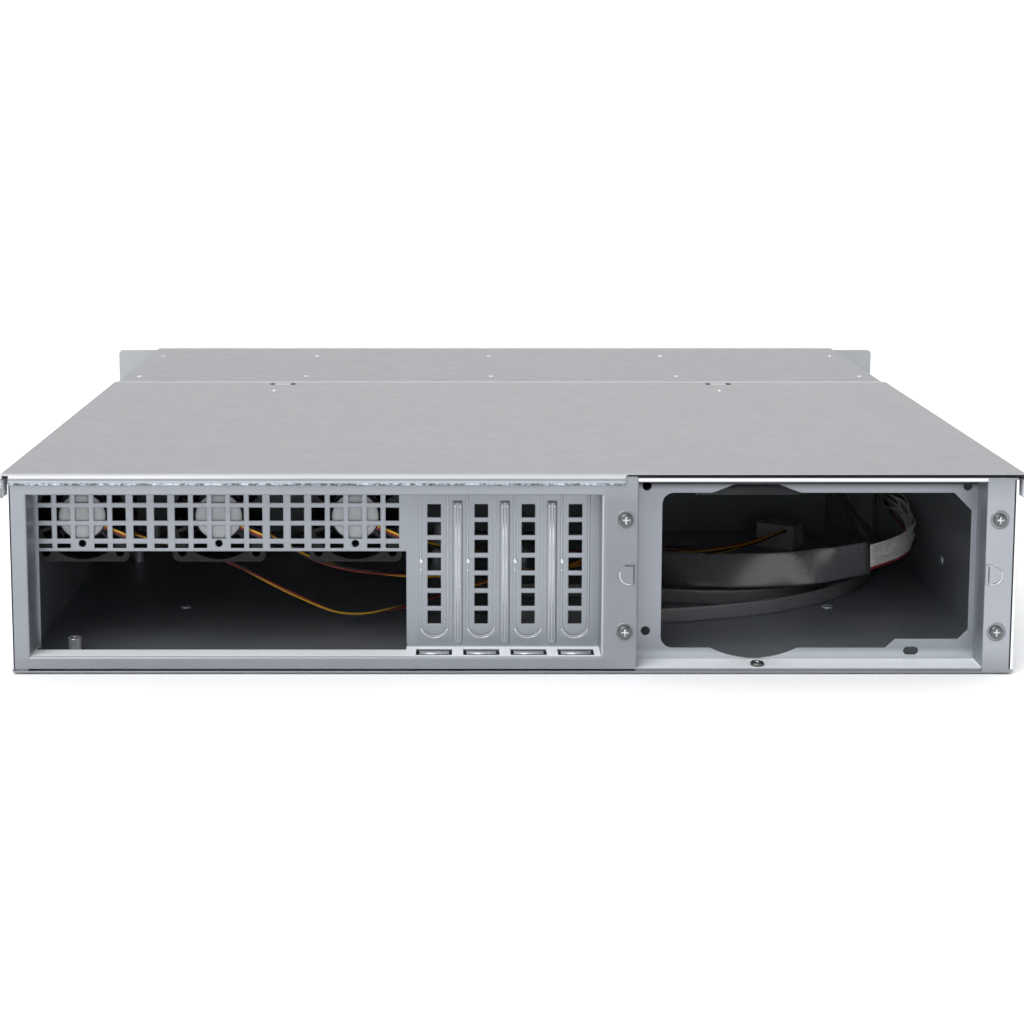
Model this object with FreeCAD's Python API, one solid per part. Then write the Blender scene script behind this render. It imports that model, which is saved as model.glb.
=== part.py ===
import FreeCAD, Part
import math
import os

os.makedirs("parts", exist_ok=True)
V = FreeCAD.Vector

# Empty two-unit rack case of folded sheet steel, seen from its rear.
# X runs to the right of the rear view, Y from the rear to the rack ears, Z up.
# The origin is on the floor plane, midway between the rear lid flange and the ears.
# Every length is in millimetres.

# Driving dimensions of the case
sheet = 1.0
rack_width = 482.6
ear_reach = 27.8
case_length = 390.0
front_length = 144.6
wall_top = 84.7
lid_top = 87.0
lid_overhang = 2.7
lid_lip = 10.6
lid_rear_lip = 5.1
lid_rear_gap = 0.2
lid_rear_lip_setback = 5.2
lid_bend = 1.2
fold_radius = 0.9
ear_fold_radius = 1.8
cover_drop = 0.3
cover_tongue = 10.0
seam_gap = 0.6
lance_inset = 95.5
lance_half = 5.6
lance_hole = 2.6
lance_length = 4.0
lance_setback = 9.0

# Rear frame and its recess
frame_bottom = 2.0
frame_top = 85.6
recess_depth = 15.0
recess_margin = 6.8
recess_bottom = 7.2
recess_top = 77.4
left_post_width = 14.9
right_post_width = 12.4
fold_clearance = 0.2
sill_depth = 10.4

# Board panel: connector window, fan vents and card slots
window_margin = 1.3
window_width = 158.75
window_bottom = 5.0
window_height = 44.45
vent_hole = 5.8
vent_pitch = 8.0
vent_wide_pitch = 9.0
vent_columns = 5
vent_link_columns = 2
vent_row_bottom = 55.0
vent_row_pitch = 7.9
vent_rows = 3
vent_slit_bottom = 50.8
vent_slit_height = 2.0
sight_hole_radius = 1.6
sight_hole_drop = 11.7
slot_count = 4
slot_pitch = 20.32
slot_lead = 12.05
slot_tail = 10.24
slot_holes = 7
slot_hole = 5.8
slot_hole_pitch = 7.85
slot_hole_bottom = 17.3
slot_blank_width = 12.5
slot_blank_bottom = 11.6
slot_blank_top = 79.0
slot_groove = 0.7
slot_groove_depth = 0.4
slot_rib_width = 3.6
slot_rib_height = 0.7
slot_rib_bottom = 9.4
slot_rib_top = 70.8
slot_rib_bevel = 0.5
panel_top = 84.4
slot_window_width = 15.5
slot_window_depth = 9.0
slot_window_start = 3.0
slot_shelf_height = 3.4
slot_shelf_depth = 8.5

# Power supply bracket
psu_gap = 0.7
psu_ear = 11.5
psu_lap_left = 11.5
psu_lap_right = 2.1
psu_cut_top = 75.2
psu_cut_bottom = 6.6
psu_cut_step = 3.9
psu_step_share = 0.733
psu_step_ramp = 4.2
psu_cut_radius = 5.0
psu_chamfer_top = 7.8
psu_chamfer_bottom = 4.1
psu_bulge_share = 0.304
psu_bulge_width_share = 0.285
psu_bulge_rise = 4.6
psu_bulge_flat = 3.7
psu_hole_out = 6.7
psu_hole_in = 2.0
psu_hole_top = 78.2
psu_hole_fall = 64.0
psu_slot_share = 0.184
psu_slot_drop = 73.0
psu_slot_length = 6.5
psu_slot_width = 3.5
psu_hole_radius = 1.95
psu_notch_width = 5.2
psu_notch_top = 4.4
rail_height = 2.2
rail_depth = 13.0
rail_top = 85.4

# Rear screws and pressed tabs
rear_screw_low = 18.2
rear_screw_high = 66.9
rear_screw_left_inset = 4.9
rear_screw_right_inset = 5.5
screw_radius = 1.5
screw_clearance = 0.2
head_radius = 3.2
head_height = 1.8
tab_radius = 4.4
tab_depth = 7.2
tab_height = 0.5
tab_middle = 43.2
bracket_screw_y = 5.6
screw_reach = 5.0

# Fans behind the vents
fan_count = 3
fan_lead_in = 19.0
fan_pitch = 58.9
fan_size = 40.0
fan_depth = 20.0
fan_bottom = 44.6
fan_bore = 19.0
fan_corner = 3.0
fan_hub = 10.4
fan_hub_depth = 3.0
fan_strut = 1.6
fan_strut_start = 40.0
fan_strut_count = 3
fan_strut_sink = 0.3
fan_hole_span = 32.0
fan_hole_radius = 1.8
rotor_hub = 11.6
rotor_gap = 0.5
rotor_tip_gap = 0.6
rotor_blades = 7
blade_thickness = 1.0
blade_pitch_angle = 38.0
blade_depth_share = 0.8
blade_root = 1.0

# Board standoffs
standoff_margin = 11.9
standoff_step = 157.5
standoff_span = 203.2
standoff_first_row = 27.2
standoff_row_gap = 53.9
standoff_wall_gap = 10.0
standoff_height = 6.5
standoff_radius = 2.9
standoff_hole = 1.25

# Middle wall, front section and drive bays
wall_flange = 34.0
wall_window_bottom = 22.0
wall_window_top = 74.0
wall_window_margin = 9.0
cable_gate_width = 27.0
cable_gate_margin = 1.5
cable_gate_top = 50.0
rivet_margin_left = 6.0
rivet_margin_right = 5.7
rivet_shift = -4.7
rivet_row_lead = 24.6
rivet_row_tail = 38.3
rivet_radius = 1.9
rivet_height = 0.6
divider_flange = 6.5
divider_top_gap = 0.3
panel_flange = 46.0
bay_margin = 6.0
bay_bottom = 7.0
bay_top = 62.0
bay_cover_lap = 5.0
bay_slit = 1.5
bay_slit_pitch = 7.0
bay_slit_bottom = 12.0
bay_slit_top = 32.0

# Controls on the front strip
button_inset = 34.5
button_z = 74.0
button_radius = 4.5
button_proud = 1.5
button_travel = 1.2
button_clearance = 0.3
collar_width = 1.0
collar_thickness = 1.0
switch_size = 6.0
reset_inset = 19.5
reset_radius = 1.8
lamp_inset = 62.5
lamp_pitch = 8.0
lamp_count = 3
lamp_radius = 1.5
lamp_clearance = 0.1
board_inset = 12.5
board_width = 56.0
board_bottom = 66.5
board_top = 80.0
board_thickness = 1.6
board_gap = 9.0
board_post_step = 8.0
board_post_span = 40.0
board_post_radius = 2.4

# Rack ears
ear_thickness = 2.0
ear_bottom = 2.0
ear_top = 84.4
ear_leg = 32.0
ear_leg_bottom = 8.0
ear_leg_top = 74.0
ear_corner = 2.5
ear_slot_inset = 8.8
ear_slot_width = 10.0
ear_slot_height = 6.8
ear_slot_span = 44.45
ear_screw_low = 18.0
ear_screw_high = 64.0
ear_screw_setback = 18.0

# Cables
arc_share = 0.45
lead_radius = 1.1
lead_sides = 6
ribbon_width = 12.7
ribbon_thickness = 1.0
sleeve_width = 16.5
sleeve_thickness = 2.0
cord_width = 7.0
cord_thickness = 1.6
plug_width = 21.0
plug_depth = 16.0
plug_height = 13.0
plug_x = 149.0
plug_y = 209.0
plug_turn = -30.0
plug_lead_step = 6.0
header_length = 7.0
header_thickness = 6.0
header_span = 23.0

# Places worked out from the sizes above
half = rack_width / 2 - ear_reach
inner = half - sheet
lid_half = half + lid_overhang
lid_length = case_length - front_length
rear = -(case_length + ear_thickness - head_height) / 2
front = rear + case_length
lid_bottom = lid_top - sheet
cover_top = lid_bottom - cover_drop
cover_bottom = cover_top - sheet
seam = rear + lid_length
wall_y = lid_length + seam_gap
recess_left = -inner + recess_margin
window_left = recess_left + window_margin
window_right = window_left + window_width
window_top = window_bottom + window_height
slot_first = window_right + slot_lead
slot_centres = [slot_first + i * slot_pitch for i in range(slot_count)]
recess_right = slot_centres[-1] + slot_tail
post_edge = recess_right + left_post_width
right_post_edge = inner - right_post_width
rear_screw_left = post_edge - rear_screw_left_inset
rear_screw_right = right_post_edge + rear_screw_right_inset
psu_left = post_edge + psu_gap
psu_cut_left = psu_left + psu_lap_left
psu_cut_right = right_post_edge - psu_lap_right
psu_cut_width = psu_cut_right - psu_cut_left
psu_bulge_x = psu_cut_left + psu_bulge_share * psu_cut_width
psu_bulge_half = psu_bulge_width_share * psu_cut_width / 2
psu_step_start = psu_cut_left + psu_step_share * psu_cut_width
psu_hole_left = psu_cut_left - psu_hole_out
psu_hole_right = psu_cut_right - psu_hole_in
lance_x = lid_half - lance_inset
fan_first = window_left + fan_lead_in
fan_centres = [fan_first + i * fan_pitch for i in range(fan_count)]
fan_middle = fan_bottom + fan_size / 2
fan_rear = rear + recess_depth + sheet
right_edge = inner - fold_clearance
panel_back = front - sheet
board_back = panel_back - board_gap - board_thickness
standoff_left = window_left + standoff_margin
standoff_columns = (standoff_left, standoff_left + standoff_step, standoff_left + standoff_span)
standoff_last_row = wall_y - standoff_wall_gap
standoff_rows = (standoff_first_row, standoff_last_row - standoff_row_gap, standoff_last_row)
rivet_left = -inner + rivet_margin_left
rivet_right = inner - rivet_margin_right
rivet_centres = [rivet_shift + i * inner / 2 for i in (-1, 0, 1)]
rivet_columns = [rivet_left] + rivet_centres + [rivet_right]
rivet_rows = (wall_y + rivet_row_lead, case_length - rivet_row_tail)
ear_screw_rows = (ear_screw_low, ear_screw_high)
button_x = inner - button_inset
reset_x = inner - reset_inset
lamp_x = inner - lamp_inset
board_right = inner - board_inset
board_left = board_right - board_width
board_post_columns = (button_x + board_post_step - board_post_span, button_x + board_post_step)
ribbon_header_x = reset_x
cord_header_x = reset_x - header_span
bay_edges = []
for left, right in zip(rivet_columns[:-1], rivet_columns[1:]):
    bay_edges.append((left + bay_margin, right - bay_margin))


def box(x0, x1, y0, y1, z0, z1):
    """A block between two corners."""
    return Part.makeBox(x1 - x0, y1 - y0, z1 - z0, V(x0, y0, z0))


def rod(radius, start, axis, length):
    """A round bar from a start point along an axis."""
    return Part.makeCylinder(radius, length, V(*start), V(*axis))


def loop(points):
    """A closed wire of straight edges through points."""
    return Part.makePolygon([V(*p) for p in points + points[:1]])


def rectangle(x0, x1, z0, z1, y):
    """A closed rectangle in an upright plane."""
    return loop([(x0, y, z0), (x1, y, z0), (x1, y, z1), (x0, y, z1)])


def ring(x, z, radius, y):
    """A circle in an upright plane."""
    return Part.Wire(Part.makeCircle(radius, V(x, y, z), V(0, 1, 0)))


def oblong(x, z, length, width, y):
    """A level slot with round ends in an upright plane."""
    r = width / 2
    a = x - length / 2 + r
    b = x + length / 2 - r
    edges = [
        Part.LineSegment(V(a, y, z - r), V(b, y, z - r)).toShape(),
        Part.Arc(V(b, y, z - r), V(b + r, y, z), V(b, y, z + r)).toShape(),
        Part.LineSegment(V(b, y, z + r), V(a, y, z + r)).toShape(),
        Part.Arc(V(a, y, z + r), V(a - r, y, z), V(a, y, z - r)).toShape(),
    ]
    return Part.Wire(edges)


def upright(outline, holes, thickness):
    """A sheet in an upright plane: an outline with holes, thickened along Y."""
    plain = Part.Face(outline).extrude(V(0, thickness, 0))
    if not holes:
        return plain
    tools = [Part.Face(h).extrude(V(0, thickness, 0)) for h in holes]
    return plain.cut(tools)


def joined(shapes):
    """One solid from pieces that share faces."""
    return shapes[0].fuse(shapes[1:]).removeSplitter()


def near(a, b):
    return abs(a - b) < fold_clearance / 2


def rounded(shape, radius, wanted):
    """A shape with the edges that a test picks rounded, the test given each edge's bounds."""
    return shape.makeFillet(radius, [e for e in shape.Edges if wanted(e.BoundBox)])


def save(name, shape):
    """Writes one sub-part."""
    shape.exportStep("parts/" + name + ".step")


def pan_screw(point, axis, shank):
    """A plain screw whose head rests on point, its shank along axis."""
    back = [-a for a in axis]
    return rod(head_radius, point, back, head_height).fuse(rod(screw_radius, point, axis, shank))


# Floor and both side walls, one folded sheet with a return at each rear corner
def base_tray():
    pieces = [
        box(-half, half, rear, front, 0, sheet),
        box(-half, -inner, rear, front, sheet, wall_top),
        box(inner, half, rear, front, sheet, wall_top),
        box(-inner, recess_left - sheet, rear + sheet, rear + 2 * sheet, sheet, wall_top),
        box(right_post_edge, inner, rear, rear + sheet, sheet, wall_top),
    ]
    tray = joined(pieces)

    def long_fold(b):
        return near(b.ZMax, 0) and near(abs(b.XMin), half) and near(b.XMin, b.XMax)

    def corner_fold(b):
        return near(b.XMin, half) and near(b.YMax, rear) and b.ZLength > wall_top / 2

    tray = rounded(tray, fold_radius, long_fold)
    tray = rounded(tray, fold_radius, corner_fold)
    holes = []
    for z in (rear_screw_low, rear_screw_high):
        holes.append(
            rod(screw_radius + screw_clearance, (rear_screw_right, rear, z), (0, 1, 0), sheet)
        )
    for side in (-1, 1):
        for z in ear_screw_rows:
            spot = (side * half, front - ear_screw_setback, z)
            holes.append(rod(screw_radius + screw_clearance, spot, (-side, 0, 0), sheet))
    spot = (psu_bulge_x, rear + bracket_screw_y, 0)
    holes.append(rod(screw_radius + screw_clearance, spot, (0, 0, 1), sheet))
    tray = tray.cut(holes)
    tab = pressed_tab(right_post_edge, 1, rear)
    return joined([tray, tab])


# A half-round tab pressed proud of a post, its straight side on the post's edge
def pressed_tab(x, side, y):
    disc = rod(tab_radius, (0, y - tab_height, tab_middle), (0, 1, 0), tab_height)
    stretch = tab_depth / tab_radius
    scale = FreeCAD.Matrix()
    scale.A11 = stretch
    disc = disc.transformGeometry(scale)
    keep = box(0, tab_depth, y - tab_height, y, tab_middle - tab_radius, tab_middle + tab_radius)
    if side < 0:
        keep = box(-tab_depth, 0, y - tab_height, y, tab_middle - tab_radius, tab_middle + tab_radius)
    shape = disc.common(keep)
    shape.translate(V(x, 0, 0))
    return shape


# Rear frame: a flat ring around the recess, with flanges folded inwards
def rear_frame():
    left = -inner + fold_clearance
    outline = rectangle(left, post_edge, frame_bottom, frame_top, rear)
    opening = rectangle(recess_left, recess_right, recess_bottom, recess_top, rear)
    holes = [opening]
    for z in (rear_screw_low, rear_screw_high):
        holes.append(ring(rear_screw_left, z, screw_radius + screw_clearance, rear))
    plate = upright(outline, holes, sheet)
    y0 = rear + sheet
    y1 = rear + recess_depth
    x0 = recess_left - sheet
    x1 = recess_right + sheet
    z0 = recess_bottom - sheet
    z1 = recess_top + sheet
    sill_end = window_right
    pieces = [
        plate,
        box(x0, recess_left, y0, y1, z0, z1),
        box(recess_right, x1, y0, y1, z0, z1),
        box(x0, x1, y0, y1, recess_top, z1),
        box(x0, sill_end, y0, rear + sill_depth, z0, recess_bottom),
        box(sill_end, x1, y0, y1, z0, recess_bottom),
    ]
    frame = joined(pieces)

    def rim(b):
        upright_edge = near(b.XMin, b.XMax) and (near(b.XMin, recess_left) or near(b.XMin, recess_right))
        level_edge = near(b.ZMin, b.ZMax) and (near(b.ZMin, recess_bottom) or near(b.ZMin, recess_top))
        return near(b.YMax, rear) and (upright_edge or level_edge)

    frame = rounded(frame, fold_radius, rim)
    windows = []
    for x in slot_centres:
        w = slot_window_width / 2
        start = rear + slot_window_start
        windows.append(box(x - w, x + w, start, start + slot_window_depth, z0, recess_bottom))
    frame = frame.cut(windows)
    tab = pressed_tab(post_edge - sheet, -1, rear)
    return joined([frame, tab])


# The outline of one card slot blank: straight sides and a round foot
def blank_outline(x, grow, y):
    r = slot_blank_width / 2 + grow
    foot = slot_blank_bottom + slot_blank_width / 2
    top = slot_blank_top - grow
    arc = Part.Arc(V(x - r, y, foot), V(x, y, foot - r), V(x + r, y, foot)).toShape()
    right = Part.LineSegment(V(x + r, y, foot), V(x + r, y, top)).toShape()
    across = Part.LineSegment(V(x + r, y, top), V(x - r, y, top)).toShape()
    left = Part.LineSegment(V(x - r, y, top), V(x - r, y, foot)).toShape()
    return Part.Wire([arc, right, across, left])


def slot_rib(x, y):
    """A stiffening bead with bevelled sides and ends, pressed proud of the panel."""
    w = slot_rib_width / 2
    bead = box(x - w, x + w, y - slot_rib_height, y, slot_rib_bottom, slot_rib_top)
    front_edges = [e for e in bead.Edges if near(e.BoundBox.YMax, y - slot_rib_height)]
    return bead.makeChamfer(slot_rib_bevel, front_edges)


# Recessed panel: connector window, vents before the fans and half-cut card slots
def board_panel():
    y = rear + recess_depth
    left = recess_left - sheet
    right = recess_right + sheet
    low = slot_shelf_height
    outline = loop(
        [
            (left, y, low),
            (right, y, low),
            (right, y, panel_top),
            (left, y, panel_top),
        ]
    )
    holes = [rectangle(window_left, window_right, window_bottom, window_top, y)]
    step = (vent_columns - 1) / 2
    for n, centre in enumerate(fan_centres):
        columns = [centre + (i - step) * vent_pitch for i in range(vent_columns)]
        if n < fan_count - 1:
            last = columns[-1]
            columns += [last + (i + 1) * vent_wide_pitch for i in range(vent_link_columns)]
        for x in columns:
            x0 = x - vent_hole / 2
            x1 = x + vent_hole / 2
            for row in range(vent_rows):
                z0 = vent_row_bottom + row * vent_row_pitch
                holes.append(rectangle(x0, x1, z0, z0 + vent_hole, y))
            if x != centre:
                z0 = vent_slit_bottom
                holes.append(rectangle(x0, x1, z0, z0 + vent_slit_height, y))
        sight = fan_middle - sight_hole_drop
        holes.append(ring(centre, sight, sight_hole_radius, y))
        for side in (-1, 1):
            x = centre + side * fan_hole_span / 2
            z = fan_middle + fan_hole_span / 2
            holes.append(ring(x, z, screw_radius, y))
    for x in slot_centres:
        for row in range(slot_holes):
            z0 = slot_hole_bottom + row * slot_hole_pitch
            holes.append(rectangle(x - slot_hole / 2, x + slot_hole / 2, z0, z0 + slot_hole, y))
    panel = upright(outline, holes, sheet)
    grooves = []
    ribs = []
    for n, x in enumerate(slot_centres):
        around = Part.Face(blank_outline(x, 0, y)).extrude(V(0, slot_groove_depth, 0))
        inside = Part.Face(blank_outline(x, -slot_groove, y)).extrude(V(0, slot_groove_depth, 0))
        grooves.append(around.cut(inside))
        if n < slot_count - 1:
            ribs.append(slot_rib(x + slot_pitch / 2, y))
    panel = joined([panel.cut(grooves)] + ribs)
    shelf = box(
        window_right,
        right,
        y - slot_shelf_depth,
        y,
        slot_shelf_height,
        slot_shelf_height + sheet,
    )
    return joined([panel, shelf])


# Bracket of the power supply: a recessed face between two forward folds
def psu_cutout(y):
    """The opening: round left corners, cut right corners and a bulge for a round grille."""
    r = psu_cut_radius
    low = psu_cut_bottom
    high = psu_cut_top
    step = low + psu_cut_step
    step_end = psu_step_start + psu_step_ramp
    a = psu_bulge_x - psu_bulge_half
    b = psu_bulge_x + psu_bulge_half
    k = r * (1 - math.cos(math.radians(45)))
    left = psu_cut_left
    right = psu_cut_right
    ramp = psu_bulge_half / 2
    edges = [
        Part.Arc(V(left, y, low + r), V(left + k, y, low + k), V(left + r, y, low)).toShape(),
        Part.LineSegment(V(left + r, y, low), V(a, y, low)).toShape(),
        Part.Arc(V(a, y, low), V(psu_bulge_x, y, low - psu_bulge_rise), V(b, y, low)).toShape(),
        Part.LineSegment(V(b, y, low), V(psu_step_start, y, low)).toShape(),
        Part.LineSegment(V(psu_step_start, y, low), V(step_end, y, step)).toShape(),
        Part.LineSegment(V(step_end, y, step), V(right - psu_chamfer_bottom, y, step)).toShape(),
        Part.LineSegment(
            V(right - psu_chamfer_bottom, y, step), V(right, y, step + psu_chamfer_bottom)
        ).toShape(),
        Part.LineSegment(
            V(right, y, step + psu_chamfer_bottom), V(right, y, high - psu_chamfer_top)
        ).toShape(),
        Part.LineSegment(
            V(right, y, high - psu_chamfer_top), V(right - psu_chamfer_top, y, high)
        ).toShape(),
        Part.LineSegment(V(right - psu_chamfer_top, y, high), V(b, y, high)).toShape(),
        Part.LineSegment(V(b, y, high), V(b - ramp, y, high + psu_bulge_flat)).toShape(),
        Part.LineSegment(
            V(b - ramp, y, high + psu_bulge_flat), V(a + ramp, y, high + psu_bulge_flat)
        ).toShape(),
        Part.LineSegment(V(a + ramp, y, high + psu_bulge_flat), V(a, y, high)).toShape(),
        Part.LineSegment(V(a, y, high), V(left + r, y, high)).toShape(),
        Part.Arc(V(left + r, y, high), V(left + k, y, high - k), V(left, y, high - r)).toShape(),
        Part.LineSegment(V(left, y, high - r), V(left, y, low + r)).toShape(),
    ]
    return Part.Wire(edges)


def psu_bracket():
    y = rear + recess_depth
    top = rail_top - rail_height
    x0 = psu_left - sheet
    x1 = right_post_edge + sheet
    outline = rectangle(x0, x1, sheet, top, y)
    holes = [psu_cutout(y)]
    for x, z in (
        (psu_hole_left, psu_hole_top),
        (psu_hole_right, psu_hole_top),
        (psu_hole_left, psu_hole_top - psu_hole_fall),
    ):
        holes.append(ring(x, z, psu_hole_radius, y))
    slot_x = psu_cut_right - psu_slot_share * psu_cut_width
    holes.append(oblong(slot_x, psu_hole_top - psu_slot_drop, psu_slot_length, psu_slot_width, y))
    notch = psu_notch_width / 2
    holes.append(
        rectangle(psu_bulge_x - notch, psu_bulge_x + notch, 2 * sheet, psu_notch_top, y)
    )
    panel = upright(outline, holes, sheet)
    y0 = rear + sheet
    pieces = [
        panel,
        box(x0, psu_left, y0, y, sheet, top),
        box(right_post_edge, x1, y0, y, sheet, top),
        box(x0 - psu_ear, x0, y0, y0 + sheet, recess_bottom, top),
        box(x1, right_edge, y0, y0 + sheet, 2 * sheet, top),
        box(psu_left, right_post_edge, y0, y, sheet, 2 * sheet),
    ]
    bracket = joined(pieces)

    def front_fold(b):
        on_fold = near(b.XMin, psu_left) or near(b.XMin, right_post_edge)
        return on_fold and near(b.XMin, b.XMax) and near(b.YMax, y0) and b.ZLength > sheet

    bracket = rounded(bracket, fold_radius, front_fold)
    holes = []
    for x in (rear_screw_left, rear_screw_right):
        for z in (rear_screw_low, rear_screw_high):
            holes.append(rod(screw_radius, (x, y0, z), (0, 1, 0), sheet))
    spot = (psu_bulge_x, rear + bracket_screw_y, sheet)
    holes.append(rod(screw_radius + screw_clearance, spot, (0, 0, 1), sheet))
    return bracket.cut(holes)


# Top rail over the power supply opening, a channel that the lid lies on
def rear_rail():
    x0 = post_edge + fold_clearance
    low = rail_top - rail_height
    pieces = [
        box(x0, inner, rear, rear + rail_depth, rail_top - sheet, rail_top),
        box(x0, inner, rear, rear + sheet, low, rail_top - sheet),
    ]
    rail = joined(pieces)
    corner = box(right_post_edge, inner, rear, rear + rail_depth, low, wall_top)
    return rail.cut(corner)


# Removable lid: a flat sheet with side lips outside the walls and a short rear lip
def lid():
    y0 = rear - lid_rear_gap - sheet
    low = lid_top - lid_lip
    outer = box(-lid_half, lid_half, y0, seam, low, lid_top)
    edges = []
    for e in outer.Edges:
        b = e.BoundBox
        along = b.YLength > lid_length / 2 and b.ZMin > lid_bottom
        if along:
            edges.append(e)
    outer = outer.makeFillet(lid_bend, edges)
    hollow = box(-lid_half + sheet, lid_half - sheet, y0, seam, low, lid_bottom)
    shape = outer.cut(hollow)
    lip_end = post_edge - lid_rear_lip_setback
    lip = box(-inner, lip_end, y0, y0 + sheet, lid_top - lid_rear_lip, lid_bottom)
    shape = joined([shape, lip])
    grips = []
    for x in (-lance_x, lance_x):
        for side in (-1, 1):
            middle = x + side * lance_half
            y = seam - lance_setback
            grips.append(
                box(
                    middle - lance_hole / 2,
                    middle + lance_hole / 2,
                    y - lance_length / 2,
                    y + lance_length / 2,
                    lid_bottom,
                    lid_top,
                )
            )
    return shape.cut(grips)


# Fixed top cover of the front section, riveted to the bay walls
def front_cover():
    y0 = seam + seam_gap
    low = lid_top - lid_lip
    outer = box(-lid_half, lid_half, y0, front, low, cover_top)
    edges = [e for e in outer.Edges if e.BoundBox.YLength > 1 and e.BoundBox.ZMin > cover_bottom]
    edges = [e for e in edges if e.BoundBox.XLength < sheet]
    outer = outer.makeFillet(lid_bend, edges)
    hollow = box(-lid_half + sheet, lid_half - sheet, y0, front, low, cover_bottom)
    tongue = box(-inner, inner, seam - cover_tongue, y0, cover_bottom, cover_top)
    return joined([outer.cut(hollow), tongue])


def top_rivets():
    """The heads of ten rivets on the front cover."""
    solids = []
    for x in rivet_columns:
        for y in rivet_rows:
            solids.append(Part.makeCylinder(rivet_radius, rivet_height, V(x, rear + y, cover_top)))
    return Part.makeCompound(solids)


# Middle wall between the board bay and the drive bays
def middle_wall():
    y = rear + wall_y
    x0 = -inner + fold_clearance
    x1 = inner - fold_clearance
    top = cover_bottom
    outline = rectangle(x0, x1, sheet, top, y)
    holes = []
    gate_right = inner - cable_gate_margin
    gate_left = gate_right - cable_gate_width
    for left, right in zip(rivet_columns[:-1], rivet_columns[1:]):
        a = left + wall_window_margin
        b = min(right, gate_left) - wall_window_margin
        holes.append(rectangle(a, b, wall_window_bottom, wall_window_top, y))
    holes.append(rectangle(gate_left, gate_right, 2 * sheet, cable_gate_top, y))
    wall = upright(outline, holes, sheet)
    flange = box(x0, x1, y + sheet, y + wall_flange, top - sheet, top)
    return joined([wall, flange])


# Front panel: four bay openings below a strip with the controls
def front_panel():
    y = front - sheet
    x0 = -inner + fold_clearance
    x1 = inner - fold_clearance
    top = cover_bottom
    outline = rectangle(x0, x1, sheet, top, y)
    holes = [rectangle(a, b, bay_bottom, bay_top, y) for a, b in bay_edges]
    holes.append(ring(button_x, button_z, button_radius + button_clearance, y))
    holes.append(ring(reset_x, button_z, reset_radius + button_clearance, y))
    for i in range(lamp_count):
        holes.append(ring(lamp_x + i * lamp_pitch, button_z, lamp_radius, y))
    panel = upright(outline, holes, sheet)
    flange = box(x0, x1, front - panel_flange, y, top - sheet, top)
    return joined([panel, flange])


def bay_cover(a, b):
    """A vented blank that fills one bay opening from behind the front panel."""
    y = front - 2 * sheet
    lap = bay_cover_lap
    outline = rectangle(a - lap, b + lap, bay_bottom - lap, bay_top + lap, y)
    holes = []
    count = int((b - a - bay_slit_pitch) / bay_slit_pitch)
    start = (a + b) / 2 - (count - 1) * bay_slit_pitch / 2
    for i in range(count):
        x = start + i * bay_slit_pitch
        holes.append(rectangle(x - bay_slit / 2, x + bay_slit / 2, bay_slit_bottom, bay_slit_top, y))
    return upright(outline, holes, sheet)


def bay_divider(x):
    """An upright wall between two bays with a flange under the cover."""
    y0 = rear + wall_y + sheet + divider_top_gap
    y1 = panel_back - sheet - divider_top_gap
    top = cover_bottom - sheet
    wall = box(x - sheet / 2, x + sheet / 2, y0, y1, sheet, top)
    flange = box(x + sheet / 2, x + sheet / 2 + divider_flange, y0, y1, sheet, 2 * sheet)
    return joined([wall, flange])


# Rack ear: a bent plate, its face in front of the case and its leg on the wall
def rack_ear(side):
    z0 = ear_bottom
    z1 = ear_top
    outer = rack_width / 2
    face = box(half, outer, front, front + ear_thickness, z0, z1)
    corners = [e for e in face.Edges if e.BoundBox.YLength > sheet and e.BoundBox.XMin > outer - sheet]
    face = face.makeFillet(ear_corner, corners)
    leg = box(half, half + ear_thickness, front - ear_leg, front, ear_leg_bottom, ear_leg_top)
    ear = joined([face, leg])

    def fold(b):
        return near(b.XMax, half) and near(b.YMin, front + ear_thickness)

    ear = rounded(ear, ear_fold_radius, fold)
    cuts = []
    middle = (z0 + z1) / 2
    slot_x = outer - ear_slot_inset
    for z in (middle - ear_slot_span / 2, middle + ear_slot_span / 2):
        slot = oblong(slot_x, z, ear_slot_width, ear_slot_height, front)
        cuts.append(Part.Face(slot).extrude(V(0, ear_thickness, 0)))
    for z in ear_screw_rows:
        spot = (half, front - ear_screw_setback, z)
        cuts.append(rod(screw_radius + screw_clearance, spot, (1, 0, 0), ear_thickness))
    ear = ear.cut(cuts)
    if side < 0:
        ear = ear.mirror(V(0, 0, 0), V(1, 0, 0))
    return ear


# One small fan: a square frame with struts and a hub seat towards the rear
def fan_frame(x):
    z = fan_middle
    h = fan_size / 2
    body = box(x - h, x + h, fan_rear, fan_rear + fan_depth, z - h, z + h)
    body = body.makeFillet(fan_corner, [e for e in body.Edges if e.BoundBox.YLength > fan_depth / 2])
    cuts = [rod(fan_bore, (x, fan_rear, z), (0, 1, 0), fan_depth)]
    for i in (-1, 1):
        for k in (-1, 1):
            s = fan_hole_span / 2
            cuts.append(rod(fan_hole_radius, (x + i * s, fan_rear, z + k * s), (0, 1, 0), fan_depth))
    body = body.cut(cuts)
    hub = rod(fan_hub, (x, fan_rear, z), (0, 1, 0), fan_hub_depth)
    struts = []
    reach = x + fan_bore + fan_strut_sink
    w = fan_strut / 2
    for i in range(fan_strut_count):
        bar = box(x, reach, fan_rear, fan_rear + fan_hub_depth, z - w, z + w)
        angle = fan_strut_start + i * 360 / fan_strut_count
        struts.append(bar.rotated(V(x, 0, z), V(0, 1, 0), angle))
    return joined([body, hub] + struts)


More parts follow.
